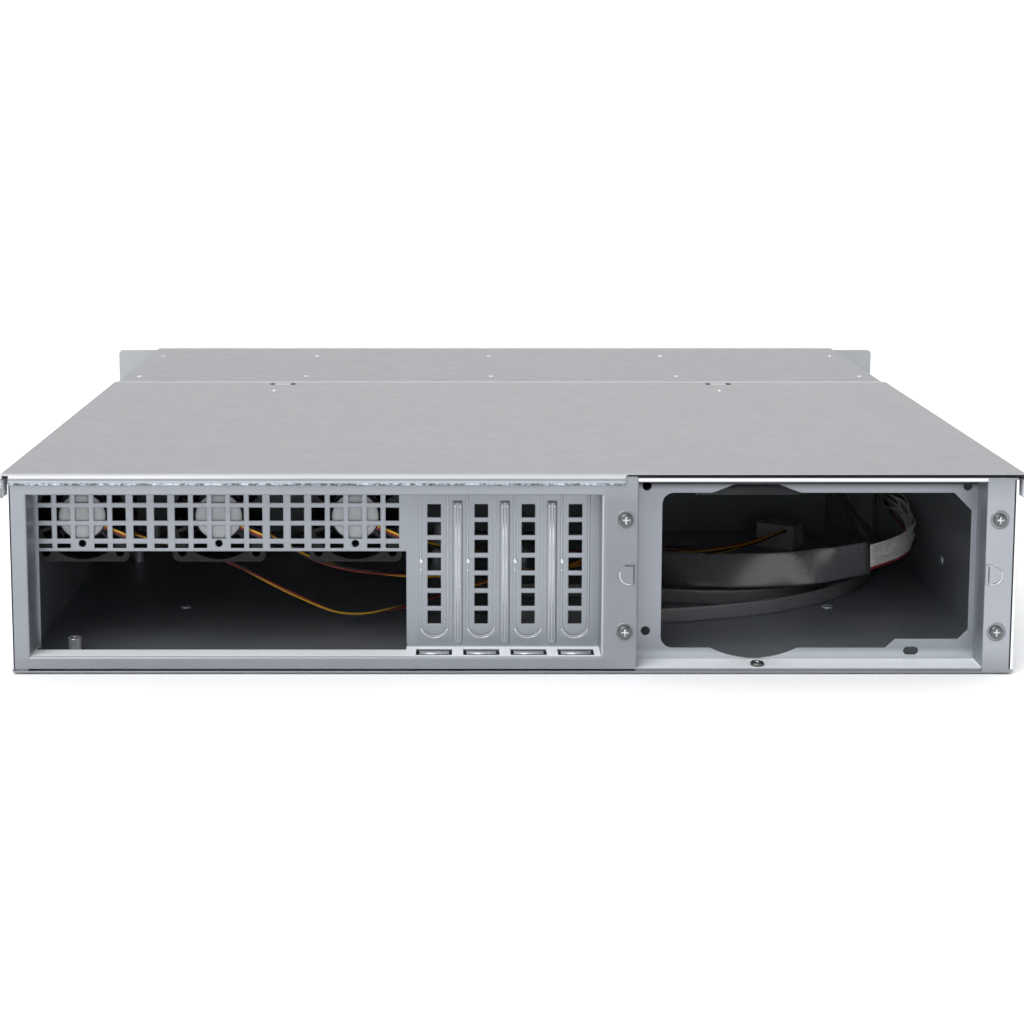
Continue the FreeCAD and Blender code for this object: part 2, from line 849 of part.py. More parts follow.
def fan_rotor(x):
    """Hub and blades that spin in the frame behind the hub seat."""
    z = fan_middle
    y0 = fan_rear + fan_hub_depth + rotor_gap
    y1 = fan_rear + fan_depth - rotor_gap
    hub = rod(rotor_hub, (x, y0, z), (0, 1, 0), y1 - y0)
    reach = fan_bore - rotor_tip_gap
    depth = (y1 - y0) * blade_depth_share
    w = blade_thickness / 2
    middle = (y0 + y1) / 2
    blades = []
    for i in range(rotor_blades):
        root = z + rotor_hub - blade_root
        blade = box(x - depth / 2, x + depth / 2, middle - w, middle + w, root, z + reach + blade_root)
        blade = blade.rotated(V(x, middle, z), V(0, 0, 1), blade_pitch_angle)
        blade = blade.rotated(V(x, middle, z), V(0, 1, 0), i * 360 / rotor_blades)
        blades.append(blade)
    bound = rod(reach, (x, y0, z), (0, 1, 0), y1 - y0)
    return joined([hub] + [b.common(bound) for b in blades])


def fan_screws():
    """A long screw through each upper corner of the fans into the board panel."""
    solids = []
    for x in fan_centres:
        for side in (-1, 1):
            z = fan_middle + fan_hole_span / 2
            spot = (x + side * fan_hole_span / 2, fan_rear + fan_depth, z)
            solids.append(pan_screw(spot, (0, -1, 0), fan_depth + sheet))
    return Part.makeCompound(solids)


def standoffs():
    """Threaded spacers on the floor, one under each hole of a small board."""
    solids = []
    for x in standoff_columns:
        for y in standoff_rows:
            post = Part.makeCylinder(standoff_radius, standoff_height, V(x, rear + y, sheet))
            bore = Part.makeCylinder(standoff_hole, standoff_height, V(x, rear + y, sheet))
            solids.append(post.cut(bore))
    return Part.makeCompound(solids)


def rear_screws():
    """The four screws that hold the power supply bracket."""
    solids = []
    for x in (rear_screw_left, rear_screw_right):
        for z in (rear_screw_low, rear_screw_high):
            solids.append(pan_screw((x, rear, z), (0, 1, 0), screw_reach))
    return Part.makeCompound(solids)


def ear_screws():
    solids = []
    for side in (-1, 1):
        for z in ear_screw_rows:
            spot = (side * (half + ear_thickness), front - ear_screw_setback, z)
            solids.append(pan_screw(spot, (-side, 0, 0), screw_reach))
    return Part.makeCompound(solids)


# Controls: two sprung buttons, a board behind them and three lamps
def button(x, radius):
    """A cap through the panel with a collar that keeps it in, over its switch."""
    y0 = panel_back - button_clearance - collar_thickness
    y1 = front + button_proud
    cap = rod(radius, (x, y0, button_z), (0, 1, 0), y1 - y0)
    collar = rod(radius + collar_width, (x, y0, button_z), (0, 1, 0), collar_thickness)
    return joined([cap, collar])


def control_board():
    """The circuit board with a switch behind each button."""
    y1 = panel_back - board_gap
    plate = box(board_left, board_right, board_back, y1, board_bottom, board_top)
    y2 = panel_back - 2 * button_clearance - collar_thickness - button_travel
    solids = [plate]
    for x in (button_x, reset_x):
        h = switch_size / 2
        solids.append(box(x - h, x + h, y1, y2, button_z - h, button_z + h))
    return joined(solids)


def board_posts():
    """Pressed-in posts between the front panel and the circuit board."""
    y0 = panel_back - board_gap
    solids = []
    for x in board_post_columns:
        solids.append(rod(board_post_radius, (x, y0, button_z), (0, 1, 0), board_gap))
    return Part.makeCompound(solids)


def board_headers():
    """Two pin headers on the back of the board, where the cables start."""
    solids = []
    for x in (ribbon_header_x, cord_header_x):
        h = header_thickness / 2
        solids.append(box(x - h, x + h, board_back - header_length, board_back, board_bottom, board_top))
    return Part.makeCompound(solids)


def lamps():
    y = front - sheet - board_gap
    solids = []
    for i in range(lamp_count):
        x = lamp_x + i * lamp_pitch
        spot = (x, y, button_z)
        solids.append(rod(lamp_radius - lamp_clearance, spot, (0, 1, 0), board_gap + sheet))
    return Part.makeCompound(solids)


# Cables: a route of straight runs joined by tangent arcs
def route(points):
    """The path through points, each corner rounded by an arc as large as its runs allow."""
    spots = [V(x, rear + y, z) for x, y, z in points]
    edges = []
    start = spots[0]
    radii = []
    for a, b, c in zip(spots[:-2], spots[1:-1], spots[2:]):
        u = (b - a).normalize()
        w = (c - b).normalize()
        turn = u.getAngle(w)
        reach = arc_share * min((b - a).Length, (c - b).Length)
        radii.append(reach / math.tan(turn / 2))
        p = b - u * reach
        q = b + w * reach
        inward = (w - u).normalize()
        bulge = radii[-1] / math.cos(turn / 2) - radii[-1]
        edges.append(Part.LineSegment(start, p).toShape())
        edges.append(Part.Arc(p, b + inward * bulge, q).toShape())
        start = q
    edges.append(Part.LineSegment(start, spots[-1]).toShape())
    return Part.Wire(edges), min(radii)


def end_plug(points, width, thickness, length):
    """A block on the end of a cable, in line with its last run."""
    a, b = [V(x, rear + y, z) for x, y, z in points[-2:]]
    along = V(b.x - a.x, b.y - a.y, 0).normalize()
    block = Part.makeBox(length, thickness, width, V(0, -thickness / 2, -width / 2))
    turn = FreeCAD.Rotation(V(1, 0, 0), along)
    block.Placement = FreeCAD.Placement(b, turn)
    return block


def tube(name, points, radius):
    """A cable along its route, its section a polygon with a circle's area."""
    path, least = route(points)
    along = path.Edges[0].tangentAt(path.Edges[0].FirstParameter)
    begin = path.Edges[0].valueAt(path.Edges[0].FirstParameter)
    step = 2 * math.pi / lead_sides
    reach = radius * math.sqrt(step / math.sin(step))
    across = along.cross(V(0, 0, 1)).normalize()
    up = across.cross(along).normalize()
    corners = []
    for i in range(lead_sides):
        corners.append(begin + across * (reach * math.cos(i * step)) + up * (reach * math.sin(i * step)))
    profile = Part.makePolygon(corners + corners[:1])
    solid = path.makePipeShell([profile], True, False)
    print(name, "least radius", round(least, 1), "length", round(path.Length, 1),
          "volume ratio", round(solid.Volume / (math.pi * radius ** 2 * path.Length), 4))
    return solid


def band(name, points, width, thickness):
    """A flat cable on its edge along its route."""
    path, least = route(points)
    first = path.Edges[0]
    along = first.tangentAt(first.FirstParameter)
    begin = first.valueAt(first.FirstParameter)
    side = along.cross(V(0, 0, 1)).normalize() * (thickness / 2)
    up = side.cross(along).normalize() * (width / 2)
    corners = [begin + side + up, begin - side + up, begin - side - up, begin + side - up]
    profile = Part.makePolygon(corners + corners[:1])
    shell = Part.BRepOffsetAPI.MakePipeShell(path)
    shell.setBiNormalMode(V(0, 0, 1))
    shell.add(profile)
    shell.build()
    shell.makeSolid()
    solid = shell.shape()
    print(name, "least radius", round(least, 1), "length", round(path.Length, 1),
          "volume ratio", round(solid.Volume / (width * thickness * path.Length), 4))
    return solid


def plug_spot(step):
    """A place on the fan plug's face, a step to the side of its middle."""
    turn = math.radians(plug_turn)
    return plug_x + step * math.cos(turn), plug_y + step * math.sin(turn)


def fan_plug():
    """The connector that the three fan leads end in, turned on the floor."""
    block = Part.makeBox(plug_width, plug_depth, plug_height, V(-plug_width / 2, 0, sheet))
    turn = FreeCAD.Rotation(V(0, 0, 1), plug_turn)
    block.Placement = FreeCAD.Placement(V(plug_x, rear + plug_y, 0), turn)
    return block


fan_exit = fan_size / 2
header_face = board_back - header_length - rear
header_z = (board_bottom + board_top) / 2
lead_one = [
    (fan_centres[0] + fan_exit, 28, 54), (-156, 30, 50), (-147, 42, 43.5), (-134, 52, 38),
    (-120, 57, 30), (-98, 60, 17), (-74, 60, 6), (-48, 64, 10.5), (-20, 72, 18), (4, 88, 19.5),
    (22, 112, 15), (32, 142, 8), (44, 170, 3.8), (66, 187, 3.2), (92, 185, 3.2), (116, 185, 4),
    (*plug_spot(-plug_lead_step), 5),
]
lead_two = [
    (fan_centres[1] + fan_exit, 28, 54), (-100, 33, 48), (-91, 41, 40), (-79, 46, 34.5),
    (-61, 49, 30.5), (-37, 53, 28), (-10, 60, 27), (14, 76, 25), (30, 102, 20), (38, 134, 14),
    (51, 165, 9), (72, 182, 6.4), (98, 179, 6.2), (122, 182, 7), (*plug_spot(0), 8),
]
lead_three = [
    (fan_centres[2] + fan_exit, 28, 54), (-38, 32, 49), (-24, 39, 43.5), (-4, 49, 40), (20, 60, 37),
    (40, 82, 31), (48, 112, 24), (50, 142, 18), (55.5, 171, 13), (76, 182, 10), (101, 175, 9.4),
    (127, 178, 10), (*plug_spot(plug_lead_step), 11.5),
]
ribbon_points = [
    (ribbon_header_x, header_face, header_z), (197, 352, 68), (203.5, 326, 56), (207, 294, 44),
    (208.5, 260, 35), (209, 224, 30), (209.5, 190, 28), (209, 160, 27), (204, 133, 25.8),
    (192, 115, 24.4), (176, 106, 22.8),
]
sleeve_points = [
    (176, 106, 22.8), (156, 99, 21), (131, 97, 19), (105, 105, 16.5), (84, 120, 13),
    (70, 140, 10.4), (63, 160, 9.5),
]
cord_points = [
    (cord_header_x, header_face, header_z), (173, 350, 66), (180, 322, 50), (190, 294, 31),
    (198, 268, 15), (201, 240, 6.4), (199, 208, 4.8), (194, 176, 4.6), (186, 148, 4.6),
    (172, 122, 4.6), (152, 101, 4.6), (126, 85, 4.6), (98, 75, 4.6), (68, 69, 4.6), (38, 66.5, 4.6),
    (10, 66, 4.6), (-5, 79, 4.6), (-6, 100, 4.6), (8, 114, 4.6), (36, 112, 4.6), (68, 105, 4.6),
    (100, 99.5, 4.6), (130, 103.5, 4.6), (152, 117, 4.6), (162, 140, 4.6), (163, 164, 4.6),
]

save("base_tray", base_tray())
save("rear_frame", rear_frame())
save("board_panel", board_panel())
save("psu_bracket", psu_bracket())
save("rear_rail", rear_rail())
save("lid", lid())
save("front_cover", front_cover())
save("top_rivets", top_rivets())
save("middle_wall", middle_wall())
save("front_panel", front_panel())
for n, (a, b) in enumerate(bay_edges):
    save("bay_cover_" + str(n + 1), bay_cover(a, b))
for n, x in enumerate(rivet_columns[1:-1]):
    save("bay_divider_" + str(n + 1), bay_divider(x))
save("ear_left", rack_ear(-1))
save("ear_right", rack_ear(1))
for n, x in enumerate(fan_centres):
    save("fan_frame_" + str(n + 1), fan_frame(x))
    save("fan_rotor_" + str(n + 1), fan_rotor(x))
save("fan_screws", fan_screws())
save("standoffs", standoffs())
save("rear_screws", rear_screws())
spot = (psu_bulge_x, rear + bracket_screw_y, 2 * sheet)
save("bracket_screw", pan_screw(spot, (0, 0, -1), 2 * sheet))
save("ear_screws", ear_screws())
save("power_button", button(button_x, button_radius))
save("reset_button", button(reset_x, reset_radius))
save("control_board", control_board())
save("board_posts", board_posts())
save("board_headers", board_headers())
save("lamps", lamps())
save("fan_lead_1", tube("fan_lead_1", lead_one, lead_radius))
save("fan_lead_2", tube("fan_lead_2", lead_two, lead_radius))
save("fan_lead_3", tube("fan_lead_3", lead_three, lead_radius))
save("fan_plug", fan_plug())
save("ribbon_cable", band("ribbon_cable", ribbon_points, ribbon_width, ribbon_thickness))
save("ribbon_sleeve", band("ribbon_sleeve", sleeve_points, sleeve_width, sleeve_thickness))
save("ribbon_plug", end_plug(sleeve_points, ribbon_width, header_thickness, header_length))
save("signal_cord", band("signal_cord", cord_points, cord_width, cord_thickness))
save("signal_plug", end_plug(cord_points, cord_width, header_thickness / 2, header_length))
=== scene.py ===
import math

import bpy
import numpy as np
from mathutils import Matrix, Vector


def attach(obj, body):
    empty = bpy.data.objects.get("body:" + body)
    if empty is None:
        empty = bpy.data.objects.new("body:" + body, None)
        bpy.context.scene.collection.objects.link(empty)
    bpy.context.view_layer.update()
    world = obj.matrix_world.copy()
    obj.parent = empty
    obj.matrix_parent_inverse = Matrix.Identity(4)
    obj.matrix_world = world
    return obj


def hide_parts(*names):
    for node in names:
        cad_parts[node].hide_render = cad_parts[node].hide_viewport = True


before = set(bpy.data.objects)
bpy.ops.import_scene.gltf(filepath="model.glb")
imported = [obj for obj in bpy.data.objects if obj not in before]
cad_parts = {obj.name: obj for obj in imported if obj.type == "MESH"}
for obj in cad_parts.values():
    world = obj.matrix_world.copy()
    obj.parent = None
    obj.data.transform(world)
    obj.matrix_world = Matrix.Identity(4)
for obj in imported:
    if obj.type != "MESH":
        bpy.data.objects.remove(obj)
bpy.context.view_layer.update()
MM = 0.001

# The studio: a pale floor that rises all round into a low white bowl, under a pale sky and three
# soft boxes: behind the camera, over the case and before the bowl's far side. None is part of the case.
floor_height = -0.0006
floor_flat = 1.9
floor_rise = 1.6
floor_level_share = 0.4
floor_steps = 24
floor_sides = 72
floor_shade = (0.93, 0.93, 0.935, 1.0)
floor_roughness = 0.9
sky_shade = (0.98, 0.99, 1.0, 1.0)
sky_strength = 0.6
box_power = 44.0
box_size = 1.7
box_place = (-0.9, -1.5, 1.7)
box_target = (0.0, -0.1, 0.04)
top_power = 16.0
top_size = 1.6
top_place = (0.35, 0.35, 1.9)
top_target = (0.0, 0.0, 0.05)
far_power = 60.0
far_place = (0.0, 1.0, 1.7)
far_target = (0.0, 3.4, 0.9)


def merged(name, grids, shades=(), ends=True):
    """One mesh from several grids of points, rows by columns, each joined round along its columns and
    closed by flat ends, with a colour for each grid, if given, in the attribute shade."""
    points, faces, colours = [], [], []
    start = 0
    for number, grid in enumerate(grids):
        rows, columns = grid.shape[:2]
        index = start + np.arange(rows * columns).reshape(rows, columns)
        following = np.roll(index, -1, axis=1)
        quads = np.stack([index[:-1], following[:-1], following[1:], index[1:]], axis=-1)
        faces += quads.reshape(-1, 4).tolist()
        if ends:
            faces.append(index[0][::-1].tolist())
            faces.append(index[-1].tolist())
        points.append(grid.reshape(-1, 3))
        if shades:
            colours.append(np.broadcast_to(shades[number], (rows, columns, 4)).reshape(-1, 4))
        start += rows * columns
    mesh = bpy.data.meshes.new(name)
    mesh.from_pydata(np.concatenate(points).tolist(), [], faces)
    mesh.shade_smooth()
    if shades:
        layer = mesh.color_attributes.new("shade", "FLOAT_COLOR", "POINT")
        layer.data.foreach_set("color", np.concatenate(colours).astype(np.float32).ravel())
    piece = bpy.data.objects.new(name, mesh)
    bpy.context.scene.collection.objects.link(piece)
    return piece


def floor_surface():
    """Height over a disc: level out to floor_flat, then a quarter circle of radius floor_rise."""
    run = np.linspace(0, 1, floor_steps)
    bend = np.clip((run - floor_level_share) / (1 - floor_level_share), 0, 1) * (math.pi / 2)
    reach = np.minimum(run / floor_level_share, 1) * floor_flat + np.sin(bend) * floor_rise
    height = floor_height + (1 - np.cos(bend)) * floor_rise
    turn = np.linspace(0, 2 * math.pi, floor_sides, endpoint=False)
    x = reach[:, None] * np.cos(turn)
    y = reach[:, None] * np.sin(turn)
    z = np.repeat(height[:, None], floor_sides, axis=1)
    return np.stack([x, y, z], axis=-1)


def plain_material(name, colour, roughness):
    """A material whose shader sockets hold plain values."""
    material = bpy.data.materials.new(name)
    material.use_nodes = True
    shader = material.node_tree.nodes["Principled BSDF"]
    shader.inputs["Base Color"].default_value = colour
    shader.inputs["Roughness"].default_value = roughness
    return material, material.node_tree, shader


studio_floor = merged("studio_floor", [floor_surface()], ends=False)
studio_paper = plain_material("studio_paper", floor_shade, floor_roughness)[0]
studio_floor.data.materials.append(studio_paper)

world = bpy.data.worlds.new("studio_light")
bpy.context.scene.world = world
world.use_nodes = True
world.node_tree.nodes["Background"].inputs["Color"].default_value = sky_shade
world.node_tree.nodes["Background"].inputs["Strength"].default_value = sky_strength


def soft_box(name, place, target, size, power):
    """A square area lamp that faces a point."""
    lamp = bpy.data.lights.new(name, "AREA")
    lamp.shape = "SQUARE"
    lamp.size = size
    lamp.energy = power
    holder = bpy.data.objects.new(name, lamp)
    bpy.context.scene.collection.objects.link(holder)
    holder.location = place
    holder.rotation_euler = (Vector(target) - Vector(place)).to_track_quat("-Z", "Y").to_euler()
    return holder


soft_box("key_box", box_place, box_target, box_size, box_power)
soft_box("top_box", top_place, top_target, top_size, top_power)
soft_box("far_box", far_place, far_target, top_size, far_power)

# The camera stands about 0.73 metres off the rear face and looks slightly down at it. Its shift
# frames the case as in the photograph.
camera_place = (-0.02246, -0.92089, 0.24149)
camera_pitch = math.radians(90 - 6.616)
camera_lens = 61.706
camera_sensor = 36.0
camera_shift = (0.0508, -0.2)
camera_range = (0.02, 50.0)
lens = bpy.data.cameras.new("camera")
lens.lens = camera_lens
lens.sensor_width = camera_sensor
lens.shift_x, lens.shift_y = camera_shift
lens.clip_start, lens.clip_end = camera_range
camera = bpy.data.objects.new("camera", lens)
bpy.context.scene.collection.objects.link(camera)
camera.location = camera_place
camera.rotation_euler = (camera_pitch, 0.0, 0.0)
bpy.context.scene.camera = camera
bpy.context.scene.view_settings.view_transform = "Standard"

# Fan leads: three thin insulated wires each, yellow, red and black, that leave the side of a fan,
# sink to the floor of the case and end side by side in one white connector.
rear = -195.1
fan_centres = [-185.4, -126.5, -67.6]
fan_exit = 20.0
plug_x = 149.0
plug_y = 209.0
plug_turn = math.radians(-30.0)
plug_lead_step = 6.0


def plug_spot(step):
    """A place on the fan plug's face, a step to the side of its middle."""
    return plug_x + step * math.cos(plug_turn), plug_y + step * math.sin(plug_turn)


lead_routes = [
    [
        (fan_centres[0] + fan_exit, 28, 54), (-156, 30, 50), (-147, 42, 43.5), (-134, 52, 38),
        (-120, 57, 30), (-98, 60, 17), (-74, 60, 6), (-48, 64, 10.5), (-20, 72, 18), (4, 88, 19.5),
        (22, 112, 15), (32, 142, 8), (44, 170, 3.8), (66, 187, 3.2), (92, 185, 3.2), (116, 185, 4),
        (*plug_spot(-plug_lead_step), 5),
    ],
    [
        (fan_centres[1] + fan_exit, 28, 54), (-100, 33, 48), (-91, 41, 40), (-79, 46, 34.5),
        (-61, 49, 30.5), (-37, 53, 28), (-10, 60, 27), (14, 76, 25), (30, 102, 20), (38, 134, 14),
        (51, 165, 9), (72, 182, 6.4), (98, 179, 6.2), (122, 182, 7), (*plug_spot(0), 8),
    ],
    [
        (fan_centres[2] + fan_exit, 28, 54), (-38, 32, 49), (-24, 39, 43.5), (-4, 49, 40),
        (20, 60, 37), (40, 82, 31), (48, 112, 24), (50, 142, 18), (55.5, 171, 13), (76, 182, 10),
        (101, 175, 9.4), (127, 178, 10), (*plug_spot(plug_lead_step), 11.5),
    ],
]
wire_radius = 0.44
wire_spread = 0.52
wire_twist = 95.0
wire_sides = 8
route_steps = 10


def route_line(points):
    """The smooth line through a cord's route: a quadratic spline that the points pull on, in metres."""
    curve = bpy.data.curves.new("route", "CURVE")
    curve.dimensions = "3D"
    curve.resolution_u = route_steps
    spline = curve.splines.new("NURBS")
    spline.points.add(len(points) - 1)
    for spot, (x, y, z) in zip(spline.points, points):
        spot.co = (x * MM, (rear + y) * MM, z * MM, 1.0)
    spline.order_u = 3
    spline.use_endpoint_u = True
    holder = bpy.data.objects.new("route", curve)
    mesh = bpy.data.meshes.new_from_object(holder)
    line = np.zeros(len(mesh.vertices) * 3)
    mesh.vertices.foreach_get("co", line)
    bpy.data.objects.remove(holder)
    bpy.data.meshes.remove(mesh)
    bpy.data.curves.remove(curve)
    return line.reshape(-1, 3)


def unit(vectors):
    """Vectors scaled to length one."""
    return vectors / np.linalg.norm(vectors, axis=-1, keepdims=True)


def line_frames(line):
    """Along, side and up directions at each point of a line, up as near to upright as the line allows."""
    along = unit(np.gradient(line, axis=0))
    side = unit(np.cross(along, np.array([0.0, 0.0, 1.0])))
    up = np.cross(side, along)
    return along, side, up


def line_lengths(line):
    """Length along a line up to each of its points."""
    steps = np.linalg.norm(np.diff(line, axis=0), axis=1)
    return np.concatenate([[0.0], np.cumsum(steps)])


def tube_points(centre, side, up, radius, sides):
    """Rings of a given radius round each point of a centre line."""
    turn = np.linspace(0, 2 * math.pi, sides, endpoint=False)
    ring = np.cos(turn)[None, :, None] * side[:, None] + np.sin(turn)[None, :, None] * up[:, None]
    return centre[:, None] + ring * radius


def noise(tree, scale, detail=4.0, stretch=(1.0, 1.0, 1.0), roughness=0.55):
    """Cloudy pattern on object coordinates, scale in marks a metre, stretched by axis."""
    place = tree.nodes.new("ShaderNodeTexCoord")
    mapping = tree.nodes.new("ShaderNodeMapping")
    mapping.inputs["Scale"].default_value = stretch
    cloud = tree.nodes.new("ShaderNodeTexNoise")
    cloud.inputs["Scale"].default_value = scale
    cloud.inputs["Detail"].default_value = detail
    cloud.inputs["Roughness"].default_value = roughness
    tree.links.new(place.outputs["Object"], mapping.inputs["Vector"])
    tree.links.new(mapping.outputs["Vector"], cloud.inputs["Vector"])
    return cloud.outputs["Fac"]


def remap(tree, source, low, high, start=0.3, end=0.7):
    """A value between low and high as the source goes from start to end."""
    node = tree.nodes.new("ShaderNodeMapRange")
    node.inputs["From Min"].default_value = start
    node.inputs["From Max"].default_value = end
    node.inputs["To Min"].default_value = low
    node.inputs["To Max"].default_value = high
    tree.links.new(source, node.inputs["Value"])
    return node.outputs["Result"]


def two_tone(tree, factor, dark, light):
    """A colour between two by a factor."""
    node = tree.nodes.new("ShaderNodeMix")
    node.data_type = "RGBA"
    node.inputs[6].default_value = (*dark, 1.0)
    node.inputs[7].default_value = (*light, 1.0)
    tree.links.new(factor, node.inputs[0])
    return node.outputs[2]


def relief(tree, shader, source, strength, distance, edge=0.0):
    """Bumps from a pattern, over edges that catch light as if rounded to a small radius."""
    bump = tree.nodes.new("ShaderNodeBump")
    bump.inputs["Strength"].default_value = strength
    bump.inputs["Distance"].default_value = distance
    tree.links.new(source, bump.inputs["Height"])
    if edge:
        rounded = tree.nodes.new("ShaderNodeBevel")
        rounded.samples = 4
        rounded.inputs["Radius"].default_value = edge
        tree.links.new(rounded.outputs["Normal"], bump.inputs["Normal"])
    tree.links.new(bump.outputs["Normal"], shader.inputs["Normal"])


def insulation(name, roughness):
    """Soft wire cover: the strand's own colour, a little uneven, with a dull shine."""
    material, tree, shader = plain_material(name, (0.5, 0.5, 0.5, 1.0), roughness)
    colour = tree.nodes.new("ShaderNodeVertexColor")
    colour.layer_name = "shade"
    uneven = remap(tree, noise(tree, 260.0), 0.82, 1.08)
    scaled = tree.nodes.new("ShaderNodeVectorMath")
    scaled.operation = "SCALE"
    tree.links.new(colour.outputs["Color"], scaled.inputs[0])
    tree.links.new(uneven, scaled.inputs["Scale"])
    tree.links.new(scaled.outputs["Vector"], shader.inputs["Base Color"])
    relief(tree, shader, noise(tree, 900.0), 0.15, 0.0001)
    return material


wire_cover = insulation("wire_cover", 0.42)
wire_shades = [(0.62, 0.34, 0.015, 1.0), (0.2, 0.014, 0.01, 1.0), (0.008, 0.008, 0.009, 1.0)]
for number, route in enumerate(lead_routes, start=1):
    line = route_line(route)
    along, side, up = line_frames(line)
    turn = line_lengths(line) / (wire_twist * MM) * 2 * math.pi
    strands = []
    for part in range(3):
        angle = (turn + part * 2 * math.pi / 3)[:, None]
        offset = (np.cos(angle) * side + np.sin(angle) * up) * wire_spread * MM
        strands.append(tube_points(line + offset, side, up, wire_radius * MM, wire_sides))
    lead = merged(f"fan_lead_wires_{number}", strands, wire_shades)
    lead.data.materials.append(wire_cover)
    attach(lead, "chassis")
    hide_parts(f"fan_lead_{number}")

# Ribbon cable: ten fine wires side by side, grey with one red edge, flat as far as the right wall
# and there split and fanned out on its way through the middle wall to the control board. Lengths
# along it are in metres, the size of its waves in millimetres.
case_depth = 390.0
front_sheet = 1.0
board_stand = 9.0
board_thickness = 1.6
header_height = 7.0
header_face = case_depth - front_sheet - board_stand - board_thickness - header_height
header_z = 73.25
ribbon_route = [
    (193, header_face, header_z), (197, 352, 68), (203.5, 326, 56), (207, 294, 44),
    (208.5, 260, 35), (209, 224, 30), (209.5, 190, 28), (209, 160, 27), (204, 133, 25.8),
    (192, 115, 24.4), (176, 106, 22.8),
]
ribbon_wires = 10
ribbon_pitch = 1.24
ribbon_wire_radius = 0.6
ribbon_grey = (0.93, 0.92, 0.88, 1.0)
ribbon_red = (0.3, 0.02, 0.03, 1.0)
loose_start = 0.040
loose_fade = 0.012
header_fade = 0.02
loose_bunch = 0.085
bunch_run = 0.022
bunch_up = (2.0, 1.5, 2.1)
bunch_aside = (-1.0, 1.8, 3.3)
wave_aside = (70.0, 1.9, 1.6)
wave_up = (55.0, 2.7, 1.5)
# Painted shade along the cable: the length it takes to come in and how much it darkens.
ribbon_shade_run = 0.03
ribbon_shade_share = 0.75


def wave(reach, wire, rate, shift, height):
    """A sine along the cable, its start moved on from wire to wire."""
    return np.sin(reach * rate + wire * shift)[:, None] * height * MM


def bunch_place(wire, middle, spread, shift):
    """How far a wire is moved where the cable bunches: a sine of its number round a middle value."""
    return (middle + spread * math.sin(wire * shift)) * MM


line = route_line(ribbon_route)
along, side, up = line_frames(line)
reach = line_lengths(line)
from_sleeve = reach[-1] - reach
loose = np.clip((from_sleeve - loose_start) / loose_fade, 0, 1) * np.clip(reach / header_fade, 0, 1)
loose = (loose * loose * (3 - 2 * loose))[:, None]
bunch = np.exp(-(((from_sleeve - loose_bunch) / bunch_run) ** 2))[:, None]
strands = []
for wire in range(ribbon_wires):
    across = (wire - (ribbon_wires - 1) / 2) * ribbon_pitch * MM
    wander = side * wave(reach, wire, *wave_aside) + up * wave(reach, wire, *wave_up)
    wander = wander + bunch * (up * bunch_place(wire, *bunch_up) + side * bunch_place(wire, *bunch_aside))
    centre = line + up * across + wander * loose
    strands.append(tube_points(centre, side, up, ribbon_wire_radius * MM, wire_sides))
# Painted shade: past the bunch the strands grow darker, deeper in the case towards the control board.
ribbon_shade_painted = np.clip((from_sleeve - loose_bunch) / ribbon_shade_run, 0, 1)
ribbon_shade_painted = (1 - ribbon_shade_share * ribbon_shade_painted)[:, None, None]
shades = [ribbon_red] + [ribbon_grey] * (ribbon_wires - 1)
shades = [np.array(shade) * ribbon_shade_painted * np.ones((1, wire_sides, 1)) for shade in shades]
ribbon = merged("ribbon_wires", strands, shades)
ribbon.data.materials.append(insulation("ribbon_cover", 0.5))
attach(ribbon, "chassis")
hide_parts("ribbon_cable")

# Black sleeve on the ribbon: a flat soft tube that stands on its edge and runs in a long curve
# across the power supply's place to a plug. Each lean is a place and a reach along it in metres, and
# an angle in degrees.
sleeve_route = [
    (176, 106, 22.8), (156, 99, 21), (131, 97, 19), (105, 105, 16.5), (84, 120, 13),
    (70, 140, 10.4), (63, 160, 9.5),
]
sleeve_width = 16.5
sleeve_thickness = 2.0
sleeve_sides = 28
flat_power = 0.55
sleeve_leans = [(0.031, 0.008, 24.0), (0.075, 0.026, 22.0), (0.0, 0.012, -4.0)]


def flat_profile(width, thickness, count):
    """Closed outline of a flat tube: a superellipse, so its faces are nearly flat and its edges round."""
    turn = np.linspace(0, 2 * math.pi, count, endpoint=False)
    across = np.sign(np.cos(turn)) * np.abs(np.cos(turn)) ** flat_power * thickness / 2
    rise = np.sign(np.sin(turn)) * np.abs(np.sin(turn)) ** flat_power * width / 2
    return across, rise


def flat_tube(line, width, thickness, count, lean=0.0):
    """A flat profile carried along a line, its width upright but for a lean, an angle at each point."""
    along, side, up = line_frames(line)
    turned = np.broadcast_to(lean, len(line))[:, None]
    side, up = side * np.cos(turned) - up * np.sin(turned), up * np.cos(turned) + side * np.sin(turned)
    across, rise = flat_profile(width * MM, thickness * MM, count)
    return line[:, None] + across[None, :, None] * side[:, None] + rise[None, :, None] * up[:, None]


def soft_black(name, colour, roughness, gloss=0.5):
    """Smooth black sleeve: satin, with faint long creases and dull patches."""
    material, tree, shader = plain_material(name, (*colour, 1.0), roughness)
    patches = noise(tree, 60.0, 3.0)
    tree.links.new(remap(tree, patches, roughness - 0.01, roughness + 0.03), shader.inputs["Roughness"])
    tone = two_tone(tree, patches, colour, tuple(c * 1.25 for c in colour))
    tree.links.new(tone, shader.inputs["Base Color"])
    relief(tree, shader, noise(tree, 320.0, 2.0, (1.0, 1.0, 0.25)), 0.03, 0.0002)
    shader.inputs["Specular IOR Level"].default_value = gloss
    return material


